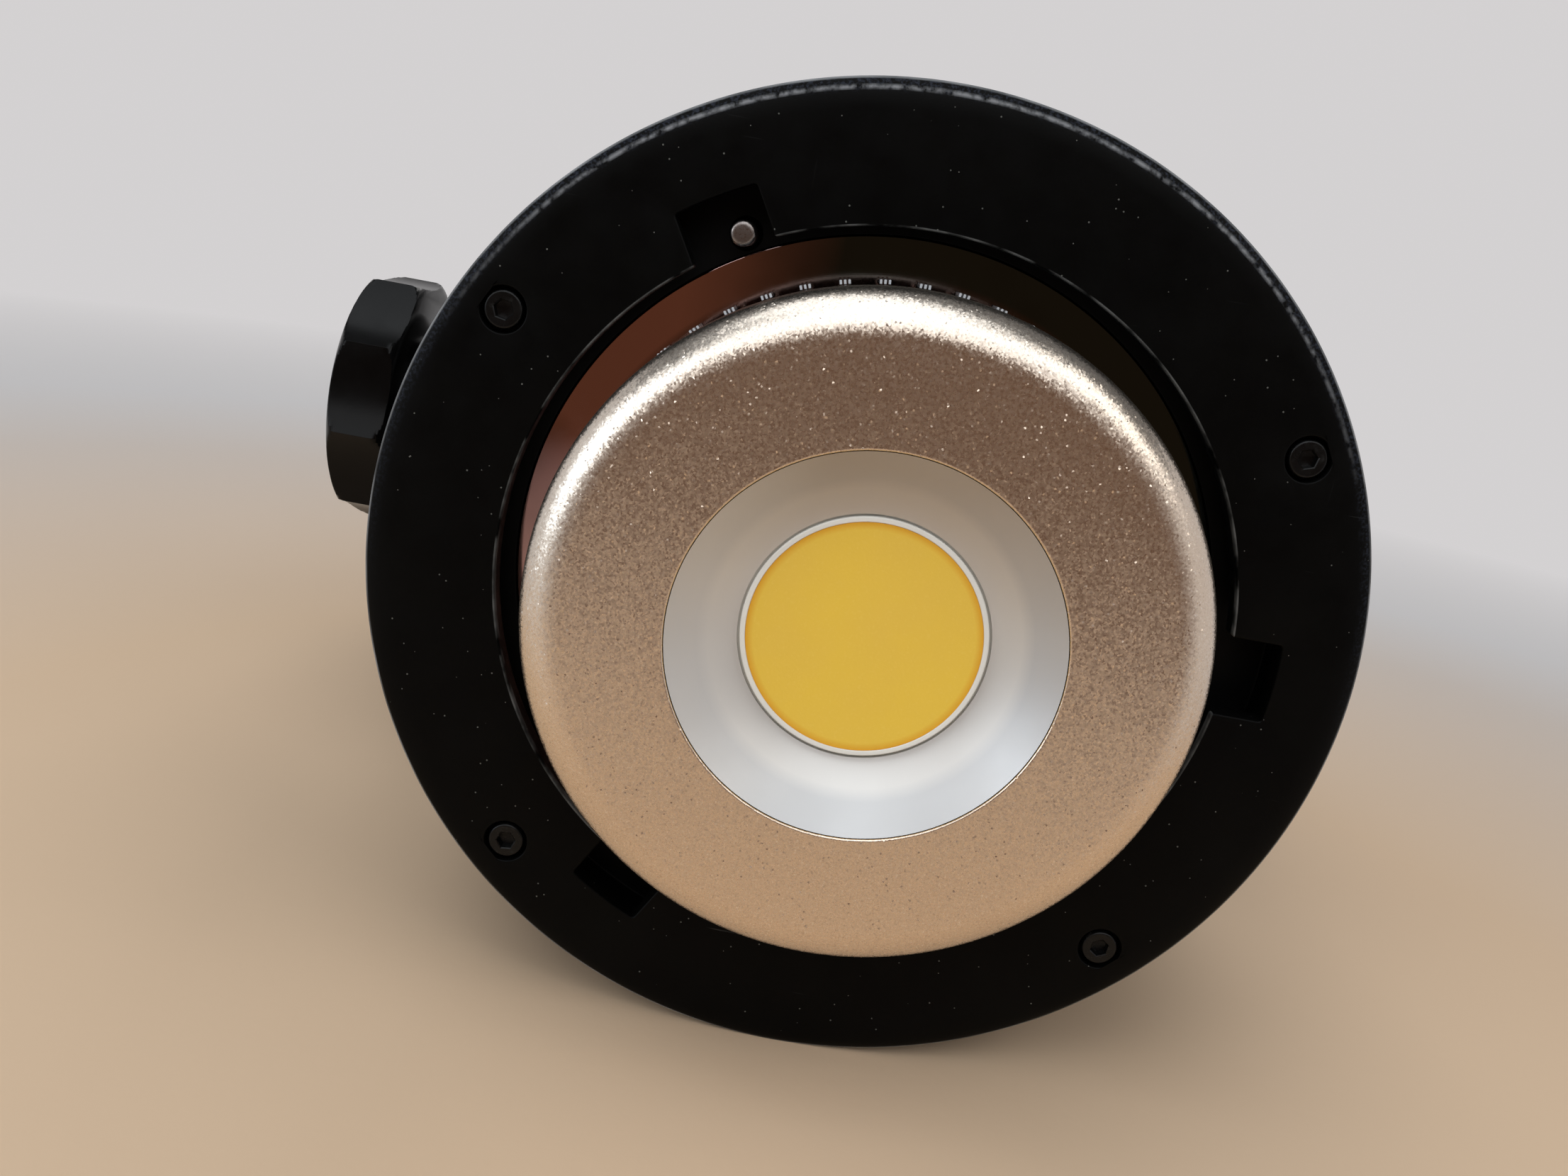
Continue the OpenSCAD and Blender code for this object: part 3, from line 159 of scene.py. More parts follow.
class Finish(Nodes):
    """A surface finish: a base colour and gloss with layers of procedural detail over them."""

    def __init__(self, name, colour, roughness, metallic=0.0, specular=0.5, coat=0.0, coat_roughness=0.1):
        self.name = name
        self.material = bpy.data.materials.new(name)
        self.material.use_nodes = True
        super().__init__(self.material.node_tree, "ShaderNode")
        self.shader = self.tree.nodes["Principled BSDF"]
        self.place = self.node("TexCoord").outputs["Object"]
        self.colour_end = (*colour, 1)
        self.put(Base_Color=self.colour_end, Roughness=roughness, Metallic=metallic,
            Specular_IOR_Level=specular, Coat_Weight=coat, Coat_Roughness=coat_roughness)

    def put(self, **values):
        """Feeds inputs of the surface shader."""
        for key, value in values.items():
            self.feed(self.shader.inputs[key.replace("_", " ")], value)
        return self

    def times(self, product, *others):
        """The product of several values."""
        for other in others:
            product = self.math("MULTIPLY", product, other)
        return product

    def stretched(self, scale, turn=(0, 0, 0), move=(0, 0, 0)):
        return self.node("Mapping", Vector=self.place, Scale=scale, Rotation=turn, Location=move)

    def noise(self, scale, detail=3.0, rough=0.55, place=None):
        return self.node("TexNoise", Vector=place or self.place, Scale=scale, Detail=detail,
            Roughness=rough).outputs["Fac"]

    def specks(self, scale, size, share):
        """Small round spots in some of the cells of a scattered grid."""
        cells = self.node("TexVoronoi", Vector=self.place, Scale=scale).outputs
        split = self.node("SeparateColor", i0=cells["Color"]).outputs
        chosen = self.math("GREATER_THAN", split[0], 1 - share)
        near = self.math("LESS_THAN", cells["Distance"], self.times(split[1], size))
        return self.times(chosen, near)

    def ramp(self, value, low, high, out_low=0.0, out_high=1.0):
        return self.node("MapRange", {"clamp": True}, Value=value, From_Min=low, From_Max=high,
            To_Min=out_low, To_Max=out_high)

    def along(self, axis):
        return self.node("SeparateXYZ", i0=self.place).outputs["XYZ".index(axis)]

    def from_axis(self):
        """Distance from the lamp axis, in metres."""
        return self.vector("LENGTH", i0=self.stretched((1, 0, 1)))["Value"]

    def mix(self, share, under, over):
        return self.node("Mix", {"data_type": "RGBA"}, i0=share, i6=under, i7=over).outputs[2]

    def tint(self, *shares, colour):
        """Mixes a colour in by the product of its shares, over the colours so far."""
        self.colour_end = self.mix(self.times(*shares), self.colour_end, (*colour, 1))
        return self.put(Base_Color=self.colour_end)

    def blotches(self, scale, low, high, colour, most=1.0, detail=3.0):
        """Mixes a colour in where a noise passes from low to high."""
        return self.tint(self.ramp(self.noise(scale, detail), low, high, 0.0, most), colour=colour)

    def gloss(self, noise, smooth, rough):
        """Roughness that follows a noise over the span where most of its values lie."""
        return self.put(Roughness=self.ramp(noise, 0.3, 0.7, smooth, rough))

    def bump(self, height, depth, strength=1.0):
        return self.put(Normal=self.node("Bump", Strength=strength, Distance=depth, Height=height))

    def facets(self, scale, little, much, share):
        """Cells that lean a little at random, and a few that lean much more."""
        cells = self.node("TexVoronoi", Vector=self.place, Scale=scale).outputs
        centred = self.vector("SUBTRACT", i0=cells["Color"], i1=(0.5, 0.5, 0.5))[0]
        pick = self.node("TexWhiteNoise", Vector=cells["Position"]).outputs["Value"]
        lean = self.vector("SCALE", i0=centred, Scale=self.ramp(pick, share, 1.0, little, much))[0]
        normal = self.node("NewGeometry").outputs["Normal"]
        total = self.vector("ADD", i0=normal, i1=lean)[0]
        return self.put(Normal=self.vector("NORMALIZE", i0=total)[0])


def plain_finish(name, colour, roughness, shade=0.6, depth=0.00002, **more):
    """A finish with soft blotches, a fine grain and a gloss that varies a little."""
    made = Finish(name, colour, roughness, **more)
    made.blotches(70, 0.35, 0.75, [c * shade for c in colour])
    made.gloss(made.noise(240), roughness * 0.88, min(1.0, roughness * 1.12))
    return made.bump(made.noise(2200, 2), depth)


def brushed_finish(name, colour, roughness, across):
    """Bare metal with marks that run one way."""
    made = Finish(name, colour, roughness, metallic=1.0)
    marks = made.noise(1, 3, 0.6, made.stretched(across))
    made.tint(made.ramp(marks, 0.35, 0.7), colour=[c * 0.72 for c in colour])
    made.gloss(marks, roughness * 0.8, roughness * 1.25)
    return made.bump(marks, 0.000012)


def powder_finish(name, colour, roughness):
    """Powder coat with a fine pebbled skin."""
    made = Finish(name, colour, roughness, specular=0.4)
    made.blotches(60, 0.4, 0.75, [c * 1.5 for c in colour])
    made.tint(made.specks(500, 0.08, 0.08), colour=(0.12, 0.12, 0.11))
    made.gloss(made.noise(300), roughness * 0.85, roughness * 1.15)
    return made.bump(made.noise(1500), 0.00009, 0.5)


def flange_finish():
    """Satin black with dust, hair scratches, edges worn to bare metal, and painted highlights along the
    rim.
    """
    made = Finish("flange_black", (0.0016, 0.0016, 0.0015), 0.36, specular=0.06)
    made.blotches(55, 0.4, 0.75, (0.0026, 0.0026, 0.0024))
    patch = made.ramp(made.noise(26), 0.5, 0.62)
    hair = made.noise(1, 2, 0.5, made.stretched((60, 1, 1900), (0, 0.5, 0)))
    cross = made.noise(1, 2, 0.5, made.stretched((2100, 1, 50), (0, 0.2, 0)))
    made.tint(made.ramp(hair, 0.71, 0.76), patch, colour=(0.03, 0.03, 0.029))
    made.tint(made.ramp(cross, 0.73, 0.78), patch, colour=(0.028, 0.028, 0.027))
    made.tint(made.specks(760, 0.065, 0.28), colour=(0.15, 0.145, 0.135))
    made.tint(made.specks(950, 0.12, 0.2), colour=(0.11, 0.11, 0.1))
    radius = made.from_axis()
    height = made.along("Z")
    front = made.ramp(made.along("Y"), 0.0013, 0.0011)
    # A faint bluish grainy band just inside the rim, stronger towards the top.
    upper_rim_band = made.times(made.ramp(radius, 0.0718, 0.0732), made.ramp(made.noise(2200), 0.46, 0.64))
    made.tint(upper_rim_band, made.ramp(height, -0.01, 0.04), colour=(0.02, 0.023, 0.032))
    # The outer front edge is lighter all round: partly wear to bare metal, partly a painted highlight
    # along the rim.
    worn = made.times(made.ramp(radius, 0.0736, 0.07385), made.ramp(made.noise(90), 0.3, 0.6, 0.25, 1.0))
    made.tint(worn, front, colour=(0.24, 0.245, 0.25))
    # A painted highlight: a thin broken light line just inside the rim, only along the top.
    glint_band = made.times(made.ramp(radius, 0.0721, 0.0725), made.ramp(radius, 0.0730, 0.0726))
    painted_glint = made.times(glint_band, made.ramp(made.noise(700), 0.36, 0.62))
    made.tint(painted_glint, made.ramp(height, 0.03, 0.06), colour=(0.21, 0.215, 0.225))
    inner = made.times(made.ramp(radius, 0.05482, 0.05472), made.ramp(made.noise(150), 0.4, 0.6))
    made.tint(inner, front, colour=(0.13, 0.13, 0.125))
    made.gloss(made.noise(180), 0.34, 0.48)
    return made.bump(made.noise(2600, 2), 0.00001)


def ring_finish():
    """Satin black, with painted shade that darkens it deeper inside the recess."""
    made = Finish("ring_black", (0.009, 0.009, 0.009), 0.5, specular=0.12)
    made.blotches(60, 0.4, 0.75, (0.012, 0.012, 0.012))
    # Painted shade: darker towards the inner radii, down in the recess.
    made.tint(made.ramp(made.from_axis(), 0.0655, 0.0640), colour=(0.0016, 0.0016, 0.0015))
    made.gloss(made.noise(240), 0.42, 0.56)
    return made.bump(made.noise(1500), 0.00004, 0.5)


def screw_finish():
    """Blackened steel, worn lighter where its fine grain stands up."""
    made = Finish("screw_black", (0.0026, 0.0026, 0.0026), 0.3, specular=0.22)
    made.blotches(900, 0.58, 0.75, (0.012, 0.012, 0.0115))
    made.gloss(made.noise(400), 0.24, 0.36)
    return made.bump(made.noise(4000, 2), 0.00001)


def recess_finish():
    """Polished dark metal with fine turning marks, a painted red-brown reflection at one side and a
    painted brownish reflection round its inner edge.
    """
    made = Finish("recess_polish", (0.055, 0.075, 0.075), 0.06, metallic=1.0)
    # A painted reflection: red-brown towards -X.
    made.tint(made.ramp(made.along("X"), -0.012, -0.034), colour=(0.62, 0.38, 0.36))
    made.blotches(35, 0.45, 0.7, (0.03, 0.03, 0.024), 0.6)
    radius = made.from_axis()
    # A painted reflection: a brownish band round the inner edge.
    made.tint(made.ramp(radius, 0.0482, 0.0466), colour=(0.13, 0.09, 0.085))
    made.gloss(made.noise(200), 0.04, 0.09)
    rings = made.xyz(X=radius)
    return made.bump(made.noise(9000, 1, 0.5, rings), 0.0000012)


def collar_finish():
    """Glossy black, with painted highlights along the tips of the ribs."""
    made = Finish("collar_black", (0.006, 0.0058, 0.0055), 0.14, specular=0.9, coat=1.0)
    made.blotches(70, 0.35, 0.75, (0.004, 0.004, 0.0038))
    # Painted highlights: the rib tips are tinted near white.
    made.tint(made.ramp(made.from_axis(), 0.04666, 0.04674), colour=(0.66, 0.67, 0.69))
    made.gloss(made.noise(240), 0.12, 0.17)
    return made.bump(made.noise(2200, 2), 0.000002)


def cup_finish():
    """Bead-blasted champagne anodising: small facets that each lean their own way and sparkle, with
    painted sparkle specks and a painted silver sheen at the upper left of the lip.
    """
    made = Finish("cup_champagne", (0.77, 0.63, 0.50), 0.27, metallic=1.0, coat=0.7, coat_roughness=0.25)
    made.blotches(45, 0.35, 0.7, (0.75, 0.61, 0.485))
    # A painted sheen: the lip turns more silver towards the upper left.
    lip = made.ramp(made.from_axis(), 0.0405, 0.0435)
    upper_left = made.math("SUBTRACT", made.along("Z"), made.times(made.along("X"), 0.6))
    made.tint(lip, made.ramp(upper_left, -0.005, 0.03), colour=(0.78, 0.69, 0.59))
    # Fine specks: the darker ones are grain, the lighter ones are painted sparkle.
    grain = made.noise(3200, 2, 0.75)
    made.tint(made.ramp(grain, 0.58, 0.76), colour=(0.93, 0.84, 0.74))
    made.tint(made.ramp(grain, 0.44, 0.28), colour=(0.58, 0.47, 0.37))
    made.gloss(made.noise(2100, 2), 0.24, 0.31)
    return made.facets(4200, 0.14, 0.6, 0.92)


def reflector_finish():
    """Satin white dish, cooler in its outer band, with a painted warm reflection at the top and painted
    light at the left.
    """
    made = Finish("reflector_satin", (0.62, 0.605, 0.58), 0.42, metallic=0.52)
    made.tint(made.ramp(made.from_axis(), 0.0212, 0.0228), colour=(0.505, 0.505, 0.505))
    # A painted reflection: warmer towards the top.
    made.tint(made.ramp(made.along("Z"), 0.006, 0.024, 0.0, 0.55), colour=(0.40, 0.315, 0.235))
    # Painted light: lighter towards -X.
    made.tint(made.ramp(made.along("X"), -0.010, -0.023, 0.0, 0.5), colour=(0.74, 0.71, 0.67))
    made.blotches(90, 0.45, 0.8, (0.57, 0.555, 0.525), 0.15)
    made.gloss(made.noise(120, 2), 0.37, 0.43)
    return made.bump(made.noise(1800, 2), 0.000004)


def phosphor_finish():
    """Yellow silicone with a fine grain and an amber edge."""
    made = Finish("phosphor", (0.85, 0.56, 0.065), 0.42, specular=0.35)
    made.blotches(60, 0.35, 0.7, (0.83, 0.54, 0.075))
    made.blotches(2600, 0.55, 0.75, (0.87, 0.59, 0.1), 0.5, 2)
    made.tint(made.ramp(made.from_axis(), 0.0152, 0.0164), colour=(0.74, 0.33, 0.012))
    made.gloss(made.noise(500), 0.36, 0.5)
    return made.bump(made.noise(2200, 2), 0.00002)


def board_finish():
    """Green circuit board with lighter tracks and tinned pads."""
    made = Finish("board_green", (0.012, 0.085, 0.035), 0.38)
    flat = made.stretched((1, 1, 1), (TURN / 4, 0, 0))
    tracks = made.node("TexBrick", Vector=flat, Scale=160, Mortar_Size=0.06).outputs["Fac"]
    made.tint(made.times(tracks, 0.7), colour=(0.03, 0.17, 0.07))
    made.tint(made.specks(330, 0.3, 0.5), colour=(0.45, 0.44, 0.40))
    made.gloss(made.noise(300), 0.32, 0.46)
    return made.bump(tracks, 0.00003)


FINISHES = {made.name: made.material for made in (
    flange_finish(),
    ring_finish(),
    powder_finish("shell_black", (0.011, 0.011, 0.011), 0.5),
    screw_finish(),
    recess_finish(),
    collar_finish(),
    cup_finish(),
    reflector_finish(),
    plain_finish("white_rim", (0.82, 0.80, 0.74), 0.4, shade=0.93),
    phosphor_finish(),
    plain_finish("led_ceramic", (0.75, 0.72, 0.65), 0.5, shade=0.9),
    brushed_finish("steel", (0.27, 0.24, 0.225), 0.3, (3000, 90, 3000)),
    brushed_finish("copper", (0.62, 0.29, 0.16), 0.34, (2600, 200, 120)),
    brushed_finish("sink_aluminium", (0.52, 0.53, 0.54), 0.38, (1800, 70, 1800)),
    plain_finish("plastic_black", (0.018, 0.018, 0.019), 0.48, shade=1.35, depth=0.00004),
    plain_finish("knob_black", (0.0022, 0.0022, 0.0022), 0.2, shade=1.4, depth=0.000006, specular=0.13),
    plain_finish("lead_red", (0.42, 0.03, 0.03), 0.42),
    plain_finish("lead_blue", (0.05, 0.12, 0.36), 0.42),
    board_finish(),
    plain_finish("ferrite", (0.5, 0.34, 0.05), 0.45, shade=0.75),
    plain_finish("capacitor_blue", (0.02, 0.035, 0.1), 0.25),
    brushed_finish("choke_copper", (0.5, 0.2, 0.06), 0.3, (400, 2600, 400)),
    plain_finish("display_grey", (0.03, 0.05, 0.04), 0.3),
    plain_finish("window_dark", (0.006, 0.007, 0.008), 0.07, coat=0.5, depth=0.000002),
    plain_finish("button_grey", (0.05, 0.05, 0.05), 0.62, depth=0.00004),
    brushed_finish("brass", (0.62, 0.48, 0.2), 0.28, (300, 2400, 2400)),
    plain_finish("friction", (0.06, 0.04, 0.025), 0.75, depth=0.00006),
)}


# Mesh makers

def added(name, mesh=None):
    """A new object in the scene, bare unless it is given a mesh."""
    made = bpy.data.objects.new(name, mesh or bpy.data.meshes.new(name))
    scene.collection.objects.link(made)
    return made


def piece_from(bm, name):
    made = added(name)
    bm.to_mesh(made.data)
    bm.free()
    return made


def smoothed(piece, angle=35):
    """Smooth shading that breaks at real edges."""
    piece.data.polygons.foreach_set("use_smooth", [True] * len(piece.data.polygons))
    piece.data.set_sharp_from_angle(angle=radians(angle))
    return piece


def settle(piece):
    """Turns a piece with live modifiers into a plain mesh."""
    graph = bpy.context.evaluated_depsgraph_get()
    mesh = bpy.data.meshes.new_from_object(
        piece.evaluated_get(graph), preserve_all_data_layers=True, depsgraph=graph)
    old = piece.data
    piece.modifiers.clear()
    piece.data = mesh
    bpy.data.meshes.remove(old)
    return piece


def changed(piece, kind, **settings):
    """Runs one modifier on a piece and keeps the mesh it makes."""
    made = piece.modifiers.new(kind, kind)
    for key, value in settings.items():
        setattr(made, key, value)
    return settle(piece)


def bevelled(piece, width, segments=3, angle=30):
    """Rounds the sharp edges of a piece."""
    return changed(piece, "BEVEL", width=width * MM, segments=segments, limit_method="ANGLE",
        angle_limit=radians(angle), harden_normals=True)


def cut_out(piece, *tools):
    """Takes the tools' shapes out of a piece."""
    for tool in tools:
        changed(piece, "BOOLEAN", operation="DIFFERENCE", solver="EXACT", object=tool)
        bpy.data.objects.remove(tool)
    return piece


def moved(piece, matrix):
    piece.data.transform(matrix)
    piece.data.update()
    return piece


def placed(x, y, z):
    return Matrix.Translation((x * MM, y * MM, z * MM))


# Quarter turns about X. What looks towards -Y comes to look down or up, and what lies along Z comes to Y.
TIPPED_DOWN = Matrix.Rotation(TURN / 4, 4, "X")
TIPPED_UP = Matrix.Rotation(-TURN / 4, 4, "X")


def to_side(side):
    """Turns a piece made along Y so that it runs towards +X, or towards -X where side is -1."""
    return Matrix.Rotation(-side * TURN / 4, 4, "Z")


def merged(name, *pieces):
    """One object from several."""
    bm = bmesh.new()
    for piece in pieces:
        bm.from_mesh(piece.data)
        bpy.data.objects.remove(piece)
    return piece_from(bm, name)


def ring_spot(radius, angle):
    """A place in x and z on a circle round the lamp axis, in degrees from +X towards +Z."""
    a = radians(angle)
    return radius * cos(a), radius * sin(a)


def ring_place(radius, angle, y=0.0):
    x, z = ring_spot(radius, angle)
    return x, y, z


def rounded(points, radius, steps=4, hold=0.03):
    """Rounds the corners of a closed outline, and holds its flats straight beside them."""
    out = []
    count = len(points)
    for i in range(count):
        corner = Vector(points[i])
        size = radius[i] if isinstance(radius, (list, tuple)) else radius
        if size <= 0:
            out.append(tuple(corner))
            continue
        back = Vector(points[i - 1]) - corner
        ahead = Vector(points[(i + 1) % count]) - corner
        reach_most = 0.45 * min(back.length, ahead.length)
        back.normalize()
        ahead.normalize()
        angle = back.angle(ahead)
        reach = min(size / tan(angle / 2), reach_most)
        size = reach * tan(angle / 2)
        centre = corner + (back + ahead).normalized() * (size / sin(angle / 2))
        first = corner + back * reach - centre
        last = corner + ahead * reach - centre
        sweep = pi - angle
        out.append(tuple(corner + back * (reach + hold)))
        for k in range(steps + 1):
            t = k / steps
            share_a = sin((1 - t) * sweep) / sin(sweep)
            share_b = sin(t * sweep) / sin(sweep)
            out.append(tuple(centre + first * share_a + last * share_b))
        out.append(tuple(corner + ahead * (reach + hold)))
    return out


def band(inner, outer, y0, y1):
    """The outline of a plain ring, from its two radii and its two places along the axis."""
    return [(inner, y0), (outer, y0), (outer, y1), (inner, y1)]


def circle(radius, sides=64, centre=(0, 0)):
    angles = [TURN * k / sides for k in range(sides)]
    return [(centre[0] + radius * cos(a), centre[1] + radius * sin(a)) for a in angles]


def oblong(width, height, corner, centre=(0, 0)):
    """A rectangle with rounded corners, in x and z."""
    w, h = width / 2, height / 2
    points = [(w, -h), (w, h), (-w, h), (-w, -h)]
    return [(centre[0] + x, centre[1] + z) for x, z in rounded(points, corner, 5)]


def bridge(bm, a, b):
    """Faces between two rings, either of which may be a single point."""
    sides = max(len(a), len(b))
    if sides == 1:
        return
    for k in range(sides):
        n = (k + 1) % sides
        if len(a) == 1:
            bm.faces.new((a[0], b[n], b[k]))
        elif len(b) == 1:
            bm.faces.new((a[k], a[n], b[0]))
        else:
            bm.faces.new((a[k], a[n], b[n], b[k]))


def skinned(bm, name, rings, angle):
    """A smooth piece from rings that are joined one after the other."""
    for a, b in zip(rings, rings[1:]):
        bridge(bm, a, b)
    bmesh.ops.recalc_face_normals(bm, faces=bm.faces)
    return smoothed(piece_from(bm, name), angle)


def lofted(name, outline, sides, angle, closed=False):
    """Rings round the lamp axis, joined up: radius, place along the axis, and "six" for six flats."""
    bm = bmesh.new()
    rings = []
    for size, y, *six in outline:
        ring = []
        for k in range(sides if size else 1):
            a = TURN * k / sides
            reach = size / cos((a + TURN / 12) % (TURN / 6) - TURN / 12) if six else size
            ring.append(bm.verts.new((reach * MM * cos(a), y * MM, reach * MM * sin(a))))
        rings.append(ring)
    return skinned(bm, name, rings + rings[:1] if closed else rings, angle)


def turned(name, profile, sides=192):
    """A piece turned round the lamp axis from a closed outline of radius and place along the axis."""
    return lofted(name, profile, sides, 35, True)


def straight(name, radius, y0, y1, sides=48):
    """A round bar along Y, also used to cut holes."""
    return turned(name, band(0, radius, y0, y1), sides)


def turned_on_tilt(name, profile, side=1):
    """A piece turned round the tilt axis, from an outline of radius and place along that axis."""
    return moved(turned(name, profile, 96), placed(0, TILT_Y, 0) @ to_side(side))


def brick(name, low, high, edge):
    """A block between two corners with rounded edges."""
    bm = bmesh.new()
    bmesh.ops.create_cube(bm, size=1)
    size = Vector(high) - Vector(low)
    middle = (Vector(high) + Vector(low)) / 2
    for v in bm.verts:
        v.co = (v.co * size + middle) * MM
    bmesh.ops.recalc_face_normals(bm, faces=bm.faces)
    made = piece_from(bm, name)
    return smoothed(bevelled(made, edge)) if edge else made


def edge_wall(y0, y1, front, back):
    """A wall from y0 to y1 with rounded edges, as steps of inset and place."""
    way = 1 if y1 > y0 else -1
    steps = 4
    angles = [TURN / 4 * k / steps for k in range(steps + 1)]
    first = [(front * (1 - sin(a)), y0 + way * front * (1 - cos(a))) for a in angles]
    return first + [(back * (1 - cos(a)), y1 - way * back * (1 - sin(a))) for a in angles]


def shifted(outline, inset, hole):
    """An outline moved into the plate's material by an inset."""
    area = sum(a[0] * b[1] - b[0] * a[1] for a, b in zip(outline, outline[1:] + outline[:1]))
    side = 1 if (area > 0) != hole else -1
    out = []
    for i, point in enumerate(outline):
        back = (Vector(point) - Vector(outline[i - 1])).normalized()
        ahead = (Vector(outline[(i + 1) % len(outline)]) - Vector(point)).normalized()
        n0 = Vector((-back.y, back.x))
        n1 = Vector((-ahead.y, ahead.x))
        lean = (n0 + n1) / max(0.3, 1 + n0.dot(n1))
        out.append((point[0] + side * lean.x * inset, point[1] + side * lean.y * inset))
    return out


def plate(name, outer, *holes):
    """A plate across Y. Each outline in x and z comes with the wall it has from front to back."""
    bm = bmesh.new()
    fronts = []
    backs = []
    for number, (outline, wall) in enumerate([outer, *holes]):
        rings = []
        for inset, y in wall:
            ring = shifted(outline, inset, number > 0)
            rings.append([bm.verts.new((x * MM, y * MM, z * MM)) for x, z in ring])
        for a, b in zip(rings, rings[1:]):
            bridge(bm, a, b)
        fronts.append(rings[0])
        backs.append(rings[-1])
    for face in bm.faces:
        face.smooth = True
    for loops in (fronts, backs):
        edges = [bm.edges.get(pair) for loop in loops for pair in zip(loop, loop[1:] + loop[:1])]
        filled = bmesh.ops.triangle_fill(bm, use_beauty=True, edges=edges, normal=(0, 1, 0))
        for face in filled["geom"]:
            if isinstance(face, bmesh.types.BMFace):
                face.smooth = False
    bmesh.ops.recalc_face_normals(bm, faces=bm.faces)
    piece = piece_from(bm, name)
    piece.data.set_sharp_from_angle(angle=radians(35))
    return piece


# Geometry Nodes

class Growth(Nodes):
    """A Geometry Nodes tree. It is given a geometry, a finish, and inputs listed here by their kind."""

    def __init__(self, name, **inputs):
        super().__init__(bpy.data.node_groups.new(name, "GeometryNodeTree"), "GeometryNode")
        self.tree.is_modifier = True
        add = self.tree.interface.new_socket
        for kind, labels in {"Geometry": "Geometry", **inputs, "Material": "Finish"}.items():
            for label in labels.split():
                add(label, in_out="INPUT", socket_type="NodeSocket" + kind)
        add("Geometry", in_out="OUTPUT", socket_type="NodeSocketGeometry")
        self.given = self.node("NodeGroupInput").outputs

    def close(self, geometry):
        whole = self.node("RealizeInstances", Geometry=geometry)
        coloured = self.node("SetMaterial", Geometry=whole, Material=self.given["Finish"])
        self.node("NodeGroupOutput", Geometry=coloured)
        return self.tree

    def bar(self, start, end, width, height, corner):
        """A bar between two places, with a rounded rectangle as its section."""
        path = self.node("CurvePrimitiveLine", Start=start, End=end)
        section = self.node("CurvePrimitiveQuadrilateral", Width=width, Height=height)
        soft = self.node("FilletCurve", {"mode": "POLY"}, Curve=section, Count=4, Radius=corner)
        return self.node("CurveToMesh", i0=path, Profile_Curve=soft, Fill_Caps=True)

    def ring(self, piece, count, reach, offset):
        """Copies of a piece round the lamp axis, moved outwards, and the angle of each."""
        number = self.math("ADD", self.node("InputIndex"), offset)
        angle = self.math("MULTIPLY", number, self.math("DIVIDE", TURN, count))
        spin = self.node("FunctionNodeEulerToRotation", i0=self.xyz(Y=angle))
        points = self.node("Points", Count=count)
        copies = self.node("InstanceOnPoints", Points=points, Instance=piece, Rotation=spin)
        return self.node("TranslateInstances", Instances=copies, Translation=self.xyz(X=reach)), angle


def grow(piece, tree, finish, plain, **lengths):
    """Runs a tree on a piece with plain values and with lengths in millimetres, and keeps its mesh."""
    values = {**plain, "Finish": FINISHES[finish]}
    values.update({key: length * MM for key, length in lengths.items()})
    made = piece.modifiers.new(tree.name, "NODES")
    made.node_group = tree
    for item in tree.interface.items_tree:
        if item.in_out == "INPUT" and item.name in values:
            made[item.identifier] = values[item.name]
    return settle(piece)


def copies_tree():
    """Copies of a piece on points that each hold a turn."""
    tree = Growth("copies_on_points", Object="Piece")
    piece = tree.node("ObjectInfo", Object=tree.given["Piece"])
    turn = tree.node("InputNamedAttribute", {"data_type": "FLOAT_VECTOR"}, Name="turn")
    spin = tree.node("FunctionNodeEulerToRotation", i0=turn)
    return tree.close(tree.node("InstanceOnPoints", Points=tree.given["Geometry"],
        Instance=piece.outputs["Geometry"], Rotation=spin))


def ribs_tree():
    """Ribs along a collar, all round it."""
    tree = Growth("ribs_round_collar", Int="Count", Float="Radius Width Height Corner Start End Shift")
    given = tree.given
    bar = tree.bar(tree.xyz(Y=given["Start"]), tree.xyz(Y=given["End"]), given["Height"], given["Width"],
        given["Corner"])
    both = tree.node("JoinGeometry", i0=given["Geometry"])
    tree.feed(both.inputs[0], tree.ring(bar, given["Count"], given["Radius"], given["Shift"])[0])
    return tree.close(both)


def vents_tree():
    """Slots through a shell, round the lamp axis, with some left out near one angle."""
    tree = Growth("vents_round_shell", Int="Count",
        Float="Inner Outer Width Start Length Closed_at Closed_half")
    given = tree.given
    middle = tree.math("ADD", given["Start"], tree.math("MULTIPLY", given["Length"], 0.5))
    bar = tree.bar(tree.xyz(X=given["Inner"], Y=middle), tree.xyz(X=given["Outer"], Y=middle),
        given["Length"], given["Width"], tree.math("MULTIPLY", given["Width"], 0.48))
    ring, angle = tree.ring(bar, given["Count"], 0.0, 0.5)
    away = tree.math("ABSOLUTE", tree.math("SUBTRACT", angle, given["Closed_at"]))
    closed = tree.math("LESS_THAN", away, given["Closed_half"])
    kept = tree.node("DeleteGeometry", {"domain": "INSTANCE"}, Geometry=ring, Selection=closed)
    tools = tree.node("RealizeInstances", Geometry=kept)
    return tree.close(tree.node("MeshBoolean", {"operation": "DIFFERENCE", "solver": "EXACT"},
        Mesh_1=given["Geometry"], Mesh_2=tools))


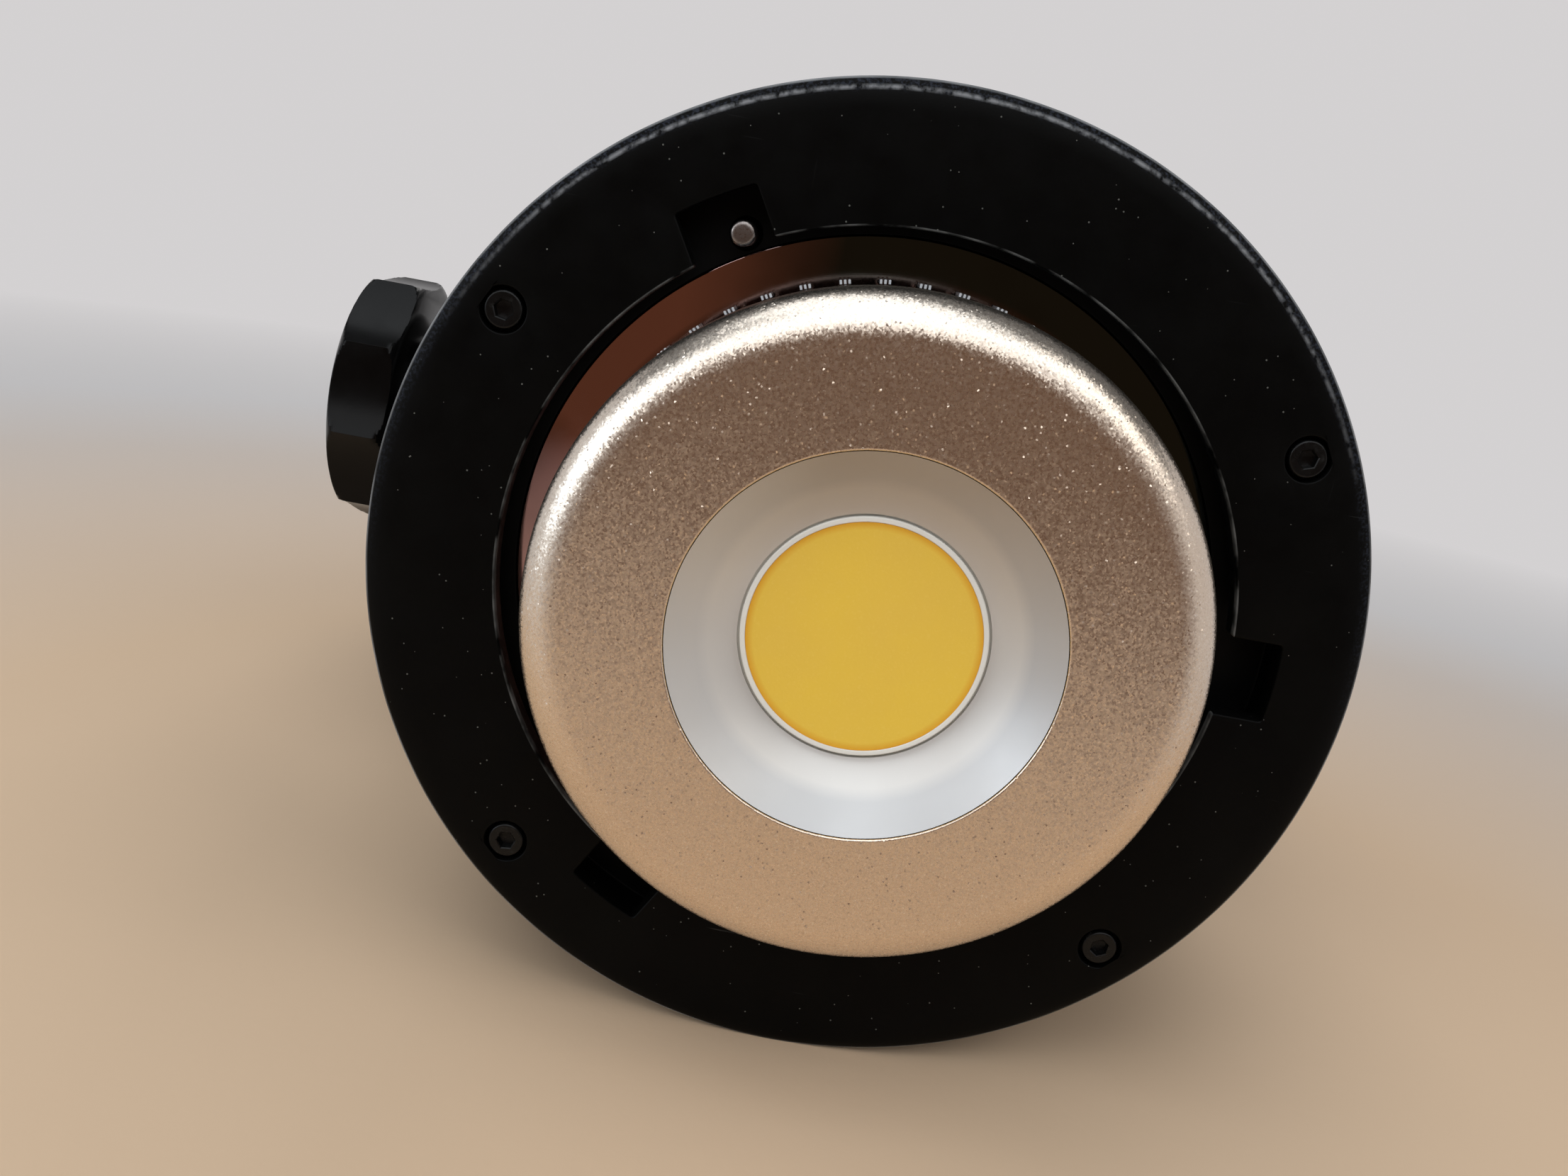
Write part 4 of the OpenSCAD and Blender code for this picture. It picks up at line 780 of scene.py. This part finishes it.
def drum_tree():
    """A drum along Z with hollow flutes between sharp ridges, a rounded foot and a domed top."""
    tree = Growth("fluted_drum", Int="Flutes Sides Rows", Float="Radius Length Sag Turn Foot Dome")
    given = tree.given
    plus, minus, times, over, least, most, sine, cosine, root = (partial(tree.math, word) for word in
        ("ADD", "SUBTRACT", "MULTIPLY", "DIVIDE", "MINIMUM", "MAXIMUM", "SINE", "COSINE", "SQRT"))
    radius, length, sag = given["Radius"], given["Length"], given["Sag"]
    drum = tree.node("MeshCylinder", Vertices=times(given["Flutes"], given["Sides"]),
        Side_Segments=given["Rows"], Radius=radius, Depth=length)
    place = tree.node("InputPosition")
    x, y, z = tree.node("ShaderNodeSeparateXYZ", i0=place).outputs
    pitch = over(TURN, given["Flutes"])
    half = times(pitch, 0.5)
    chord = times(radius, sine(half))
    flute = over(plus(times(chord, chord), times(sag, sag)), times(sag, 2.0))
    centre = plus(minus(times(radius, cosine(half)), sag), flute)
    above_zero = 100.0001
    share = tree.math("FRACT", plus(over(tree.math("ARCTAN2", y, x), pitch), above_zero))
    lean = times(minus(share, 0.5), pitch)
    side = times(centre, sine(lean))
    inner = minus(times(flute, flute), times(side, side))
    reach = minus(times(centre, cosine(lean)), root(inner))
    half_length = times(length, 0.5)
    for end, height, widen in ((given["Foot"], times(z, -1.0), 1.0), (given["Dome"], z, 1.8)):
        past = most(minus(plus(height, end), half_length), 0.0)
        rest = minus(times(end, end), times(past, past))
        inset = times(minus(end, root(most(rest, 0.0))), widen)
        reach = least(reach, minus(radius, inset))
    ratio = over(reach, radius)
    pulled_in = tree.vector("MULTIPLY", i0=place, i1=tree.xyz(X=ratio, Y=ratio, Z=1.0))[0]
    shaped = tree.node("SetPosition", Geometry=drum, Position=pulled_in)
    return tree.close(tree.node("Transform", Geometry=shaped, Rotation=tree.xyz(Z=given["Turn"])))


def coil_tree():
    """A coil of round wire along Z."""
    tree = Growth("coil_of_wire", Float="Turns Radius Length Wire")
    given = tree.given
    path = tree.node("CurveSpiral", Resolution=32, Rotations=given["Turns"], Start_Radius=given["Radius"],
        End_Radius=given["Radius"], Height=given["Length"])
    section = tree.node("CurvePrimitiveCircle", Resolution=12, Radius=given["Wire"])
    return tree.close(tree.node("CurveToMesh", i0=path, Profile_Curve=section, Fill_Caps=True))


copies_on_points = copies_tree()
ribs_round_collar = ribs_tree()
vents_round_shell = vents_tree()
fluted_drum = drum_tree()
coil_of_wire = coil_tree()


def screw_heads(name, size, places):
    """Heads of socket-head screws. A head looks towards -Y from its place, before its own turn."""
    r = 0.75 * size + 0.5
    key = size * 5 / 12
    edge = 0.12 * size
    depth = 0.55 * size
    rings = [(0, size), (r, size), (r, edge)]
    for k in range(1, 5):
        a = TURN / 4 * k / 4
        rings.append((r - edge * (1 - cos(a)), edge * (1 - sin(a))))
    rings += [(r - edge - 0.04, 0), (key + 0.14, 0, "six"), (key, 0.14, "six"), (key, depth, "six"),
        (0, depth + 0.25)]
    head = lofted("screw_head", rings, 48, 30)
    mesh = bpy.data.meshes.new(name)
    mesh.from_pydata([tuple(c * MM for c in place) for place, turn in places], [], [])
    turns = mesh.attributes.new("turn", "FLOAT_VECTOR", "POINT")
    turns.data.foreach_set("vector", [c for place, turn in places for c in turn])
    made = grow(added(name, mesh), copies_on_points, "screw_black", {"Piece": head})
    bpy.data.objects.remove(head)
    return smoothed(made, 30)


def fluted(name, finish, turn, flutes, sides, rows, ridge, **lengths):
    """A fluted drum along Z, with its ridges rounded off."""
    plain = {"Turn": radians(turn), "Flutes": flutes, "Sides": sides, "Rows": rows}
    made = grow(added(name), fluted_drum, finish, plain, **lengths)
    return bevelled(smoothed(made, 25), ridge, 2, 25)


def dressed(piece, body, finish, *replaced, look=None):
    """Gives a piece its finish, the body it moves with and the nodes it stands for."""
    piece.data.materials.clear()
    piece.data.materials.append(FINISHES[look or finish])
    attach(piece, body)
    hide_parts(*replaced)
    return piece


# Front

AT_LOCK = placed(*ring_place(LOCK_R, LOCK_ANGLE))
LOCK_TURN = Matrix.Rotation(-radians(LOCK_ANGLE), 4, "Y")


def front_flange():
    soft_edge = [(4.2 * (1 - sin(a)), 1.2 * (1 - cos(a)))
        for a in (0.06, 0.2, 0.4, 0.6, 0.8, 1.0, 1.15)]
    rim = [(4.2, 0), *soft_edge, (0.16, 0.9), (0, 1.06), (0, 3), (0.3, 3.7), (1.0, FLANGE_BACK)]
    near = degrees(asin(SLOT_HALF_WIDTH / BORE_R))
    far = degrees(asin(SLOT_HALF_WIDTH / SLOT_R))
    points = []
    for slot in (0, 120, 240):
        points.append(ring_spot(BORE_R, slot - near))
        points += [ring_spot(SLOT_R, slot - far + 2 * far * k / 12) for k in range(13)]
        points += [ring_spot(BORE_R, slot + near + (120 - 2 * near) * k / 60) for k in range(60)]
    soft = []
    for i, point in enumerate(points):
        a = Vector(points[i - 1]) - Vector(point)
        b = Vector(points[(i + 1) % len(points)]) - Vector(point)
        soft.append(0.45 if a.angle(b) < 2.6 else 0)
    bore = (rounded(points, soft, 3), edge_wall(0, FLANGE_BACK, 0.3, 0.3))
    sink = edge_wall(0, 3.2, 0.25, 0)[:-1] + [(0, 3.2), (-1.75, 3.2), (-1.75, FLANGE_BACK)]
    screws = [(circle(3.35, 48, ring_spot(FLANGE_SCREW_R, a)), sink) for a in FLANGE_SCREW_TURNS]
    return plate("front_flange", (circle(FLANGE_R, 288), rim), bore, *screws)


def ring_behind_flange():
    outline = [(40, RECESS_BACK), (40, SHELL_START), (50.2, SHELL_START), (50.2, 20), (66.4, 20),
        (66.4, SHELL_START), (73, SHELL_START), (73, FLANGE_BACK), (63, FLANGE_BACK), (63, RECESS_FLOOR),
        (53.4, RECESS_FLOOR), (53.4, RECESS_BACK)]
    soft = [0, 0.2, 0, 0.2, 0.4, 0, 0.8, 0.3, 0.2, 0.3, 0.15, 0]
    ring = turned("ring_behind_flange", rounded(outline, soft), 256)
    bore = turned("pin_bore", [(0, 8), (3.2, 8), (2.45, 9.55), (1.9, 10.1), (1.9, 25), (0, 25)], 48)
    return smoothed(cut_out(ring, moved(bore, AT_LOCK)))


def polished_recess():
    return turned("polished_recess", rounded(band(40, 53.3, RECESS_FLOOR, RECESS_BACK), 0.2, 3), 256)


def ribbed_collar():
    """A collar with ribs, and three fine ridges along the tip of each rib."""
    outline = [(39.5, COLLAR_FRONT), (44.7, COLLAR_FRONT), (44.7, CUP_BACK), (45.4, CUP_BACK),
        (45.4, RECESS_FLOOR), (39.5, RECESS_FLOOR)]
    body = turned("ribbed_collar", rounded(outline, [0.3, 0.3, 0, 0.2, 0.2, 0.3], 3), 208)
    grow(body, ribs_round_collar, "collar_black", {"Count": 52, "Shift": 0.0}, Radius=45.3, Width=2.0,
        Height=2.6, Corner=0.7, Start=-9.9, End=9.4)
    for shift in (-0.11, 0.0, 0.11):
        grow(body, ribs_round_collar, "collar_black", {"Count": 52, "Shift": shift}, Radius=46.85,
            Width=0.34, Height=0.9, Corner=0.1, Start=3.5, End=9.0)
    return smoothed(body)


def champagne_cup():
    face = rounded(band(26.85, 36, CUP_FRONT, DISH_SEAT), [0.3, 0, 0, 0.1])
    angles = [TURN / 4 * k / 16 for k in range(17)]
    lip = [(CUP_R - 6.2 * (1 - sin(a)), CUP_FRONT + 5.2 * (1 - cos(a))) for a in angles]
    wall = rounded([(CUP_R, -16.2), (CUP_R, CUP_BACK), (44.8, CUP_BACK), (44.8, COLLAR_FRONT)],
        [0, 0.4, 0.2, 0])
    start = face.index((36, CUP_FRONT)) + 1
    return turned("champagne_cup", face[:start] + lip + wall + face[start:], 256)


def white_dish():
    rows = 24
    inner, span = 17.4, 9.35
    low, high = -15.0, -21.2
    front = [(inner + span * k / rows, low + (high - low) * (k / rows) ** 1.25) for k in range(rows + 1)]
    back = [(DISH_R, DISH_SEAT), (33, DISH_SEAT), (33, -18.1), (26.25, -18.1), (inner, -14.4)]
    return turned("white_dish", front + back, 256)


def led_white_rim():
    return turned("led_white_rim", rounded(band(LED_R, 17.05, -15.2, LED_BACK), 0.2))


def led_yellow_disc():
    top = -15.1
    return turned("led_yellow_disc", [(0, top), (8, top), (15.6, top), (16.0, -15.12), (LED_R, -15.16),
        (LED_R, LED_BACK), (0, LED_BACK)])


def spring_pin():
    tip = [(0, 1.5), (1.1, 1.5), (1.4, 1.53), (1.6, 1.63), (1.75, 1.8), (1.8, 2.0)]
    shank = [(1.8, 20.05), (3.5, 20.05), (3.5, 21.55), (1.5, 21.55), (1.5, 41.05), (0, 41.05)]
    return moved(turned("spring_pin", tip + shank, 48), AT_LOCK)


def coil_round_pin():
    """The pin's spring, which reaches back to the bracket behind it."""
    rest, travel, bracket, wire_d = 14.0, 5.0, 35.55, 0.7
    x, z = ring_spot(LOCK_R, LOCK_ANGLE)
    coil = grow(added("coil_round_pin"), coil_of_wire, "steel", {"Turns": 7.0}, Radius=2.5,
        Length=rest - 2 * wire_d, Wire=wire_d / 2)
    moved(coil, placed(x, bracket - rest + wire_d, z) @ TIPPED_UP)
    dressed(smoothed(coil, 50), "head", "steel", "lock_spring")
    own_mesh(coil)


dressed(front_flange(), "head", "flange_black", "mount_flange")
dressed(screw_heads("flange_screw_heads", 3, [(ring_place(FLANGE_SCREW_R, a, 0.2), (0, radians(t), 0))
    for a, t in FLANGE_SCREW_TURNS.items()]), "head", "screw_black", "flange_screws")
dressed(ring_behind_flange(), "head", "flange_black", "mount_ring", look="ring_black")
dressed(polished_recess(), "head", "recess_polish", "recess_plate")
dressed(ribbed_collar(), "head", "collar_black", "rib_collar")
dressed(champagne_cup(), "head", "cup_champagne", "lamp_cup")
dressed(white_dish(), "head", "reflector_satin", "reflector")
dressed(led_white_rim(), "head", "white_rim", "led_dam")
dressed(led_yellow_disc(), "head", "phosphor", "led_phosphor")
dressed(spring_pin(), "lock", "steel", "lock_pin")
coil_round_pin()


# Tilt knob, shell and rear panel

def tilt_lock_knob():
    drum = fluted("tilt_lock_drum", "knob_black", turn=20.4, flutes=9, sides=20, rows=64, ridge=0.3,
        Radius=27.3, Length=13, Sag=1.0, Foot=2.6, Dome=3.8)
    moved(drum, placed(-103.5, TILT_Y, 0) @ Matrix.Rotation(-TURN / 4, 4, "Y"))
    neck = turned_on_tilt("tilt_lock_neck", rounded(band(0, 15, 95.25, 97.2), [0, 0.2, 0, 0]), -1)
    return merged("tilt_lock_knob", drum, neck)


def lamp_shell():
    tube = turned("lamp_shell", rounded(band(66.5, SHELL_R, SHELL_START, SHELL_END), 0.5, 3), 216)
    # Vents count from +X towards -Z. The front row is closed at the lock's tab, the rear row nowhere.
    nowhere = 999
    for start, length, closed_at in ((34, 40, 360 - LOCK_ANGLE), (131, 34, nowhere)):
        plain = {"Count": 36, "Closed_at": radians(closed_at), "Closed_half": radians(12)}
        grow(tube, vents_round_shell, "shell_black", plain, Inner=62, Outer=72, Width=4, Start=start,
            Length=length)
    slot = moved(brick("tab_slot", (62, 37.05, -3.3), (72, 47.05, 3.3), 0), LOCK_TURN)
    return smoothed(cut_out(tube, slot), 30)


def tab_for_thumb():
    top = 73.3
    stem = brick("tab_stem", (53.2, 38.05, -3), (70.3, 41.05, 3), 0.3)
    pad = brick("tab_pad", (69.3, 29.55, -6), (top, 49.55, 6), 1.0)
    grips = []
    for k in range(5):
        bar = turned("tab_grip", rounded(band(0, 0.8, -5, 5), [0, 0.4, 0.4, 0], 3), 20)
        grips.append(moved(bar, placed(top, 31.55 + 4 * k, 0) @ TIPPED_DOWN))
    return moved(merged("tab_for_thumb", stem, pad, *grips), LOCK_TURN)


def panel_at_rear():
    pane_seat = [(0, REAR), (0, PANE_BACK), (-2.1, PANE_BACK), (-2.1, SHELL_END)]
    openings = [circle(3.3, 32, DIAL_PLACE), oblong(14.6, 21, 0.6, SWITCH_PLACE),
        oblong(27.6, 20.6, 0.6, INLET_PLACE)]
    openings += [circle(4.8, 40, place) for place in BUTTON_PLACES.values()]
    openings += [oblong(16, 3, 1.4, (side, 7 * k)) for side in (-48.02, 48.02) for k in range(-2, 3)]
    openings += [circle(2.1, 24, ring_spot(ROD_R, a)) for a in ROD_SCREW_TURNS]
    through = edge_wall(REAR, SHELL_END, 0.3, 0)
    face = plate("panel_at_rear", (circle(SHELL_R, 216), edge_wall(REAR, SHELL_END, 2.0, 0.1)),
        (oblong(46.2, 24.2, 1.2, WINDOW_PLACE), pane_seat), *[(opening, through) for opening in openings])
    lip = turned("panel_lip", rounded(band(65.2, 66.4, 182, SHELL_END), 0.2, 2), 144)
    return merged("panel_at_rear", face, lip)


def window_pane():
    return plate("window_pane", (oblong(46, 24, 1.1, WINDOW_PLACE), edge_wall(REAR, PANE_BACK, 0.3, 0.1)))


def brightness_dial():
    x, z = DIAL_PLACE
    drum = fluted("dial_drum", "knob_black", turn=0, flutes=28, sides=8, rows=32, ridge=0.12,
        Radius=14, Length=12.6, Sag=0.32, Foot=0.9, Dome=1.0)
    moved(drum, placed(x, 196.9, z) @ TIPPED_DOWN)
    outline = [(0, 203), (13.2, 203), (13.2, 204.6), (11.4, 204.6), (10.4, 204.1), (0, 204.1)]
    cap = turned("dial_cap", rounded(outline, [0, 0, 0.9, 0.3, 0.3, 0]), 112)
    return merged("brightness_dial", drum, moved(cap, placed(x, 0, z)))


def button_cap(name, x, z):
    outline = [(0, 182.2), (2.25, 182.2), (2.25, 184.1), (5.75, 184.1), (5.75, 185.7), (4.5, 185.7),
        (4.5, 191.5), (0, 191.75)]
    cap = turned(name + "_cap", rounded(outline, [0, 0.2, 0, 0.2, 0.2, 0, 0.8, 0]), 64)
    return moved(cap, placed(x, 0, z))


def switch_frame():
    outer = [(0.5, 191.8), (0.15, 191.66), (0, 191.3), (0, REAR), (1, REAR), (1, 172)]
    inner = [(0.3, 191.8), (0, 191.5), (0, 183)]
    rim = plate("switch_frame", (oblong(16.4, 22.8, 1.2, SWITCH_PLACE), outer),
        (oblong(10.6, 18.4, 0.4, SWITCH_PLACE), inner))
    floor = plate("switch_floor", (oblong(11, 18.8, 0.4, SWITCH_PLACE), edge_wall(183.1, 182, 0, 0)))
    return merged("switch_frame", rim, floor)


def switch_rocker():
    x, z = SWITCH_PLACE
    outline = [(2.2, -8.2), (5.6, -8.2), (4.2, 0), (5.6, 8.2), (2.2, 8.2), (-2.2, 2.6), (-2.2, -2.6)]
    soft = [0.4, 0.7, 3, 0.7, 0.4, 0.4, 0.4]
    key = plate("switch_rocker", (rounded(outline, soft), edge_wall(-5, 5, 0.5, 0.5)))
    pin = straight("rocker_pin", 1, -6.5, 6.5, 24)
    lean = Matrix.Rotation(-radians(8), 4, "X")
    return moved(merged("switch_rocker", key, pin), placed(x, 187, z) @ lean @ to_side(-1))


def inlet_socket():
    x, z = INLET_PLACE
    outer = [(0.6, 192.5), (0.18, 192.32), (0, 191.9), (0, REAR), (1.8, REAR), (1.8, 168)]
    inner = [(0.4, 192.5), (0, 192.1), (0, 176)]
    mouth = [(-12.2, 8.5), (-12.2, -3.5), (-7.2, -8.5), (7.2, -8.5), (12.2, -3.5), (12.2, 8.5)]
    hole = [(x + a, z + b) for a, b in rounded(mouth, 0.8)]
    body = plate("inlet_socket", (oblong(31, 24, 2, INLET_PLACE), outer), (hole, inner))
    floor = plate("inlet_floor", (oblong(25.4, 18, 1, INLET_PLACE), edge_wall(176.1, 174, 0, 0)))
    return merged("inlet_socket", body, floor)


dressed(tilt_lock_knob(), "tilt_knob", "knob_black", "tilt_knob")
dressed(lamp_shell(), "head", "shell_black", "shell")
dressed(tab_for_thumb(), "lock", "shell_black", "release_tab")
dressed(panel_at_rear(), "head", "plastic_black", "rear_panel")
dressed(screw_heads("rear_screw_heads", 4, [(ring_place(ROD_R, a, REAR + 4), (0, radians(t), TURN / 2))
    for a, t in ROD_SCREW_TURNS.items()]), "head", "screw_black", "rear_screws")
dressed(window_pane(), "head", "window_dark", "display_window")
dressed(brightness_dial(), "dial", "knob_black", "dial")
for button, (button_x, button_z) in BUTTON_PLACES.items():
    dressed(button_cap(button, button_x, button_z), button, "button_grey", button)
dressed(switch_frame(), "head", "plastic_black", "switch_body")
dressed(switch_rocker(), "rocker", "plastic_black", "rocker")
dressed(inlet_socket(), "head", "plastic_black", "mains_inlet")


# Tilt joint and yoke

YOKE_SWING = placed(0, TILT_Y, 0) @ Matrix.Rotation(radians(YOKE_ANGLE), 4, "X")


def bosses_at_sides():
    made = []
    for side in (1, -1):
        boss = turned_on_tilt("boss", rounded(band(4.1, 24, 60, 86.5), [0, 0, 2, 0.2], 6), side)
        made.append(cut_out(boss, straight("shell_room", SHELL_R, 60, 150, 216)))
    return smoothed(merged("bosses_at_sides", *made))


def tilt_washers():
    outline = rounded(band(4.05, 10, 94.05, 95.2), 0.25, 3)
    return merged("tilt_washers", *[turned_on_tilt("washer", outline, side) for side in (1, -1)])


def yoke_stations():
    """Places along the middle of the bent bar: x, z, the way its thickness points, and half its width."""
    half_width = 20
    steps = [k / 12 for k in range(13)]
    out = []
    for step in steps:
        a = TURN / 4 * (1 - step)
        out.append((91.0, half_width * sin(a), 0.0, max(0.9, half_width * cos(a))))
    for step in steps:
        a = TURN / 4 * step
        out.append((76 + 15 * cos(a), -144 - 15 * sin(a), a, half_width))
    return out + [(-x, z, TURN / 2 - a, w) for x, z, a, w in reversed(out)]


def bent_yoke():
    bm = bmesh.new()
    rings = []
    for x, z, a, half in yoke_stations():
        section = rounded([(-3, -half), (3, -half), (3, half), (-3, half)], min(1.2, 0.8 * half), 3)
        rings.append([bm.verts.new(((x + t * cos(a)) * MM, w * MM, (z - t * sin(a)) * MM))
            for t, w in section])
    bm.faces.new(rings[0])
    bm.faces.new(rings[-1])
    yoke = skinned(bm, "bent_yoke", rings, 40)
    cuts = [moved(straight("stud_hole", 4.05, -100, 100), to_side(-1)),
        moved(straight("spigot_hole", 8.4, -10, 10, 64), placed(0, 0, -160) @ TIPPED_DOWN)]
    cuts += [moved(straight("bolt_room", 3.6, -10, 4.1), placed(x, y, -162) @ TIPPED_DOWN)
        for x, y in BASE_BOLTS]
    return moved(smoothed(cut_out(yoke, *cuts), 40), YOKE_SWING)


def socket_for_stand():
    block = plate("socket_for_stand", (oblong(34, 34, 3), edge_wall(112, 156, 1.2, 0.4)))
    moved(block, TIPPED_UP)
    at_screw = placed(0, 0, STAND_SCREW_Z) @ to_side(-1)
    at_umbrella = placed(0, 0, UMBRELLA_Z)
    cuts = [moved(straight("spigot_bore", 8.1, -40, 0, 64), placed(0, 0, -126) @ TIPPED_DOWN),
        moved(straight("umbrella_bore", 4.1, -20, 20), at_umbrella),
        moved(straight("stand_screw_bore", 4.05, -20, 0), at_screw),
        moved(straight("umbrella_screw_bore", 2.55, 0, 20), at_umbrella @ to_side(-1))]
    return moved(smoothed(cut_out(block, *cuts), 40), YOKE_SWING)


def bolts_in_base():
    spots = [((x, y, -161.9), (TURN / 4, 0, 0)) for x, y in BASE_BOLTS]
    return moved(screw_heads("bolts_in_base", 4, spots), YOKE_SWING)


def hand_knob(name, width, x0, x1, shank, shank_from, neck, neck_from, edge, z, side):
    """A knob with hollows for the fingers and the screw that it turns, along X in the yoke's frame."""
    radius = width / 2
    hollow_r = 0.2 * width
    hollow_at = 0.62 * width
    outline = []
    for k in range(144):
        a = TURN * k / 144
        lean = (a + TURN / 12) % (TURN / 6) - TURN / 12
        inside = hollow_r ** 2 - (hollow_at * sin(lean)) ** 2
        hollow = hollow_at * cos(lean) - sqrt(inside) if inside > 0 else radius
        reach = min(radius, hollow)
        outline.append((reach * cos(a), reach * sin(a)))
    grip = plate(name, (outline, edge_wall(x0, x1, edge, edge)))
    screw = straight("shank", shank, shank_from, x0 + 1, 32)
    collar = turned("neck", rounded(band(0, neck, neck_from, x0 + 0.5), [0, 0.5, 0, 0], 3), 48)
    face = turned("knob_face", rounded(band(0, 0.5 * radius, x1 - 0.5, x1), [0, 0, 0.2, 0], 2), 48)
    return moved(merged(name, grip, screw, collar, face), YOKE_SWING @ placed(0, 0, z) @ to_side(side))


dressed(bosses_at_sides(), "head", "shell_black", "pivot_bosses")
dressed(tilt_washers(), "head", "steel", "pivot_washers")
dressed(screw_heads("tilt_bolt_head", 8, [((103.2, TILT_Y, 0), (0, 0, TURN / 4))]),
    "head", "screw_black", "pivot_bolt")
dressed(bent_yoke(), "yoke", "shell_black", "yoke")
dressed(socket_for_stand(), "yoke", "shell_black", "stand_socket")
dressed(bolts_in_base(), "yoke", "screw_black", "socket_bolts")
dressed(hand_knob("stand_lock_knob", width=32, x0=26, x1=40, shank=4, shank_from=8.6, neck=8,
    neck_from=18.3, edge=1.4, z=STAND_SCREW_Z, side=1), "stand_screw", "knob_black", "stand_screw")
dressed(hand_knob("umbrella_lock_knob", width=16, x0=20, x1=31, shank=2.5, shank_from=4.6, neck=3.6,
    neck_from=18, edge=0.9, z=UMBRELLA_Z, side=-1), "umbrella_screw", "knob_black", "umbrella_screw")


# Finishes of the nodes that keep their solids

NODE_FINISHES = {
    "steel": "collar_screws led_screws sink_screws lock_bracket fan_screws tie_rods rear_standoffs"
        " board_screws control_screws encoder_shaft boss_screws tilt_stud",
    "sink_aluminium": "heat_sink driver_plate",
    "copper": "heat_spreader",
    "led_ceramic": "led_board led_holder",
    "lead_red": "led_leads",
    "lead_blue": "mains_leads",
    "plastic_black": "fan_frame fan_rotor",
    "board_green": "driver_board control_board",
    "ferrite": "transformer",
    "capacitor_blue": "capacitors",
    "choke_copper": "choke",
    "display_grey": "display",
    "brass": "inlet_pins",
    "friction": "friction_washers",
}
for finish, names in NODE_FINISHES.items():
    for name in names.split():
        nodes[name].data.materials.clear()
        nodes[name].data.materials.append(FINISHES[finish])


# Floor, lights and background

def floor_finish():
    """Pale floor, warm round the lamp. Further off a camera, a metal or a glass sees a plain backdrop."""
    made = Finish("floor_pale", (0.715, 0.52, 0.352), 0.6, specular=0.25)
    made.blotches(4, 0.35, 0.7, (0.735, 0.54, 0.367))
    distance = made.vector("LENGTH", i0=made.stretched((1, 1, 0), move=(0, -0.04, 0)))["Value"]
    made.tint(made.ramp(distance, 0.18, 0.5), colour=(0.64, 0.622, 0.62))
    made.bump(made.noise(300), 0.00005)
    rays = made.node("LightPath").outputs
    mirrored = made.math("MAXIMUM", rays["Is Glossy Ray"], rays["Is Transmission Ray"])
    far_away = made.times(rays["Is Camera Ray"], made.ramp(distance, 0.38, 0.8))
    in_metal = made.times(mirrored, made.ramp(distance, 0.14, 0.55))
    behind = made.ramp(made.math("DIVIDE", made.along("Y"), distance), -0.85, -0.5)
    pale = made.math("MAXIMUM", behind, rays["Is Camera Ray"])
    shade = made.mix(pale, (0.12, 0.06, 0.032, 1), (0.655, 0.638, 0.642, 1))
    glow = made.node("Emission", Color=shade)
    backdrop = made.math("MAXIMUM", far_away, in_metal)
    both = made.node("MixShader", i0=backdrop, i1=made.shader, i2=glow)
    made.feed(made.tree.nodes["Material Output"].inputs["Surface"], both)
    return made.material


def pale_floor():
    """A floor that rises to a backdrop all round."""
    rows = [(900, FLOOR_Z), (1500, FLOOR_Z), (1900, -60), (2300, 0), (2600, 120), (2800, 320),
        (2880, 620), (2880, 1500)]
    bm = bmesh.new()
    rings = [[bm.verts.new((0, TILT_Y * MM, FLOOR_Z * MM))]]
    for radius, z in rows:
        outline = circle(radius, 96, (0, TILT_Y))
        rings.append([bm.verts.new((x * MM, y * MM, z * MM)) for x, y in outline])
    floor = skinned(bm, "pale_floor", rings, 60)
    floor.data.materials.append(floor_finish())


def soft_light(name, place, width, height, power, colour, target=(0, 0, 0)):
    data = bpy.data.lights.new(name, "AREA")
    data.shape = "RECTANGLE"
    data.size = width
    data.size_y = height
    data.energy = power
    data.color = colour
    data.spread = radians(150)
    made = bpy.data.objects.new(name, data)
    scene.collection.objects.link(made)
    made.location = place
    made.rotation_mode = "QUATERNION"
    made.rotation_quaternion = (Vector(target) - Vector(place)).to_track_quat("-Z", "Y")


pale_floor()
soft_light("ceiling_light", leaned(0.0, -0.25, 1.25), 1.4, 0.8, 4.1, (0.92, 0.96, 1.0))
soft_light("front_light", leaned(0.0, -0.95, 0.8), 1.6, 0.9, 5.4, (0.93, 0.965, 1.0))
soft_light("left_light", leaned(-0.9, -0.65, 0.6), 0.7, 0.7, 1.6, (0.9, 0.95, 1.0))
soft_light("right_light", leaned(0.95, -0.6, 0.65), 0.7, 0.7, 1.9, (1.0, 0.99, 0.97))
soft_light("window_light", leaned(-1.2, -0.5, 0.3), 0.7, 0.8, 2.2, (0.76, 0.88, 1.0))
soft_light("rear_light", leaned(0.3, 1.3, 0.9), 0.9, 0.6, 4.0, (1.0, 0.99, 0.97), (0, 0.1, 0))
world = bpy.data.worlds.new("studio")
world.use_nodes = True
scene.world = world
world.node_tree.nodes["Background"].inputs["Color"].default_value = (0.80, 0.80, 0.82, 1)
world.node_tree.nodes["Background"].inputs["Strength"].default_value = 0.16
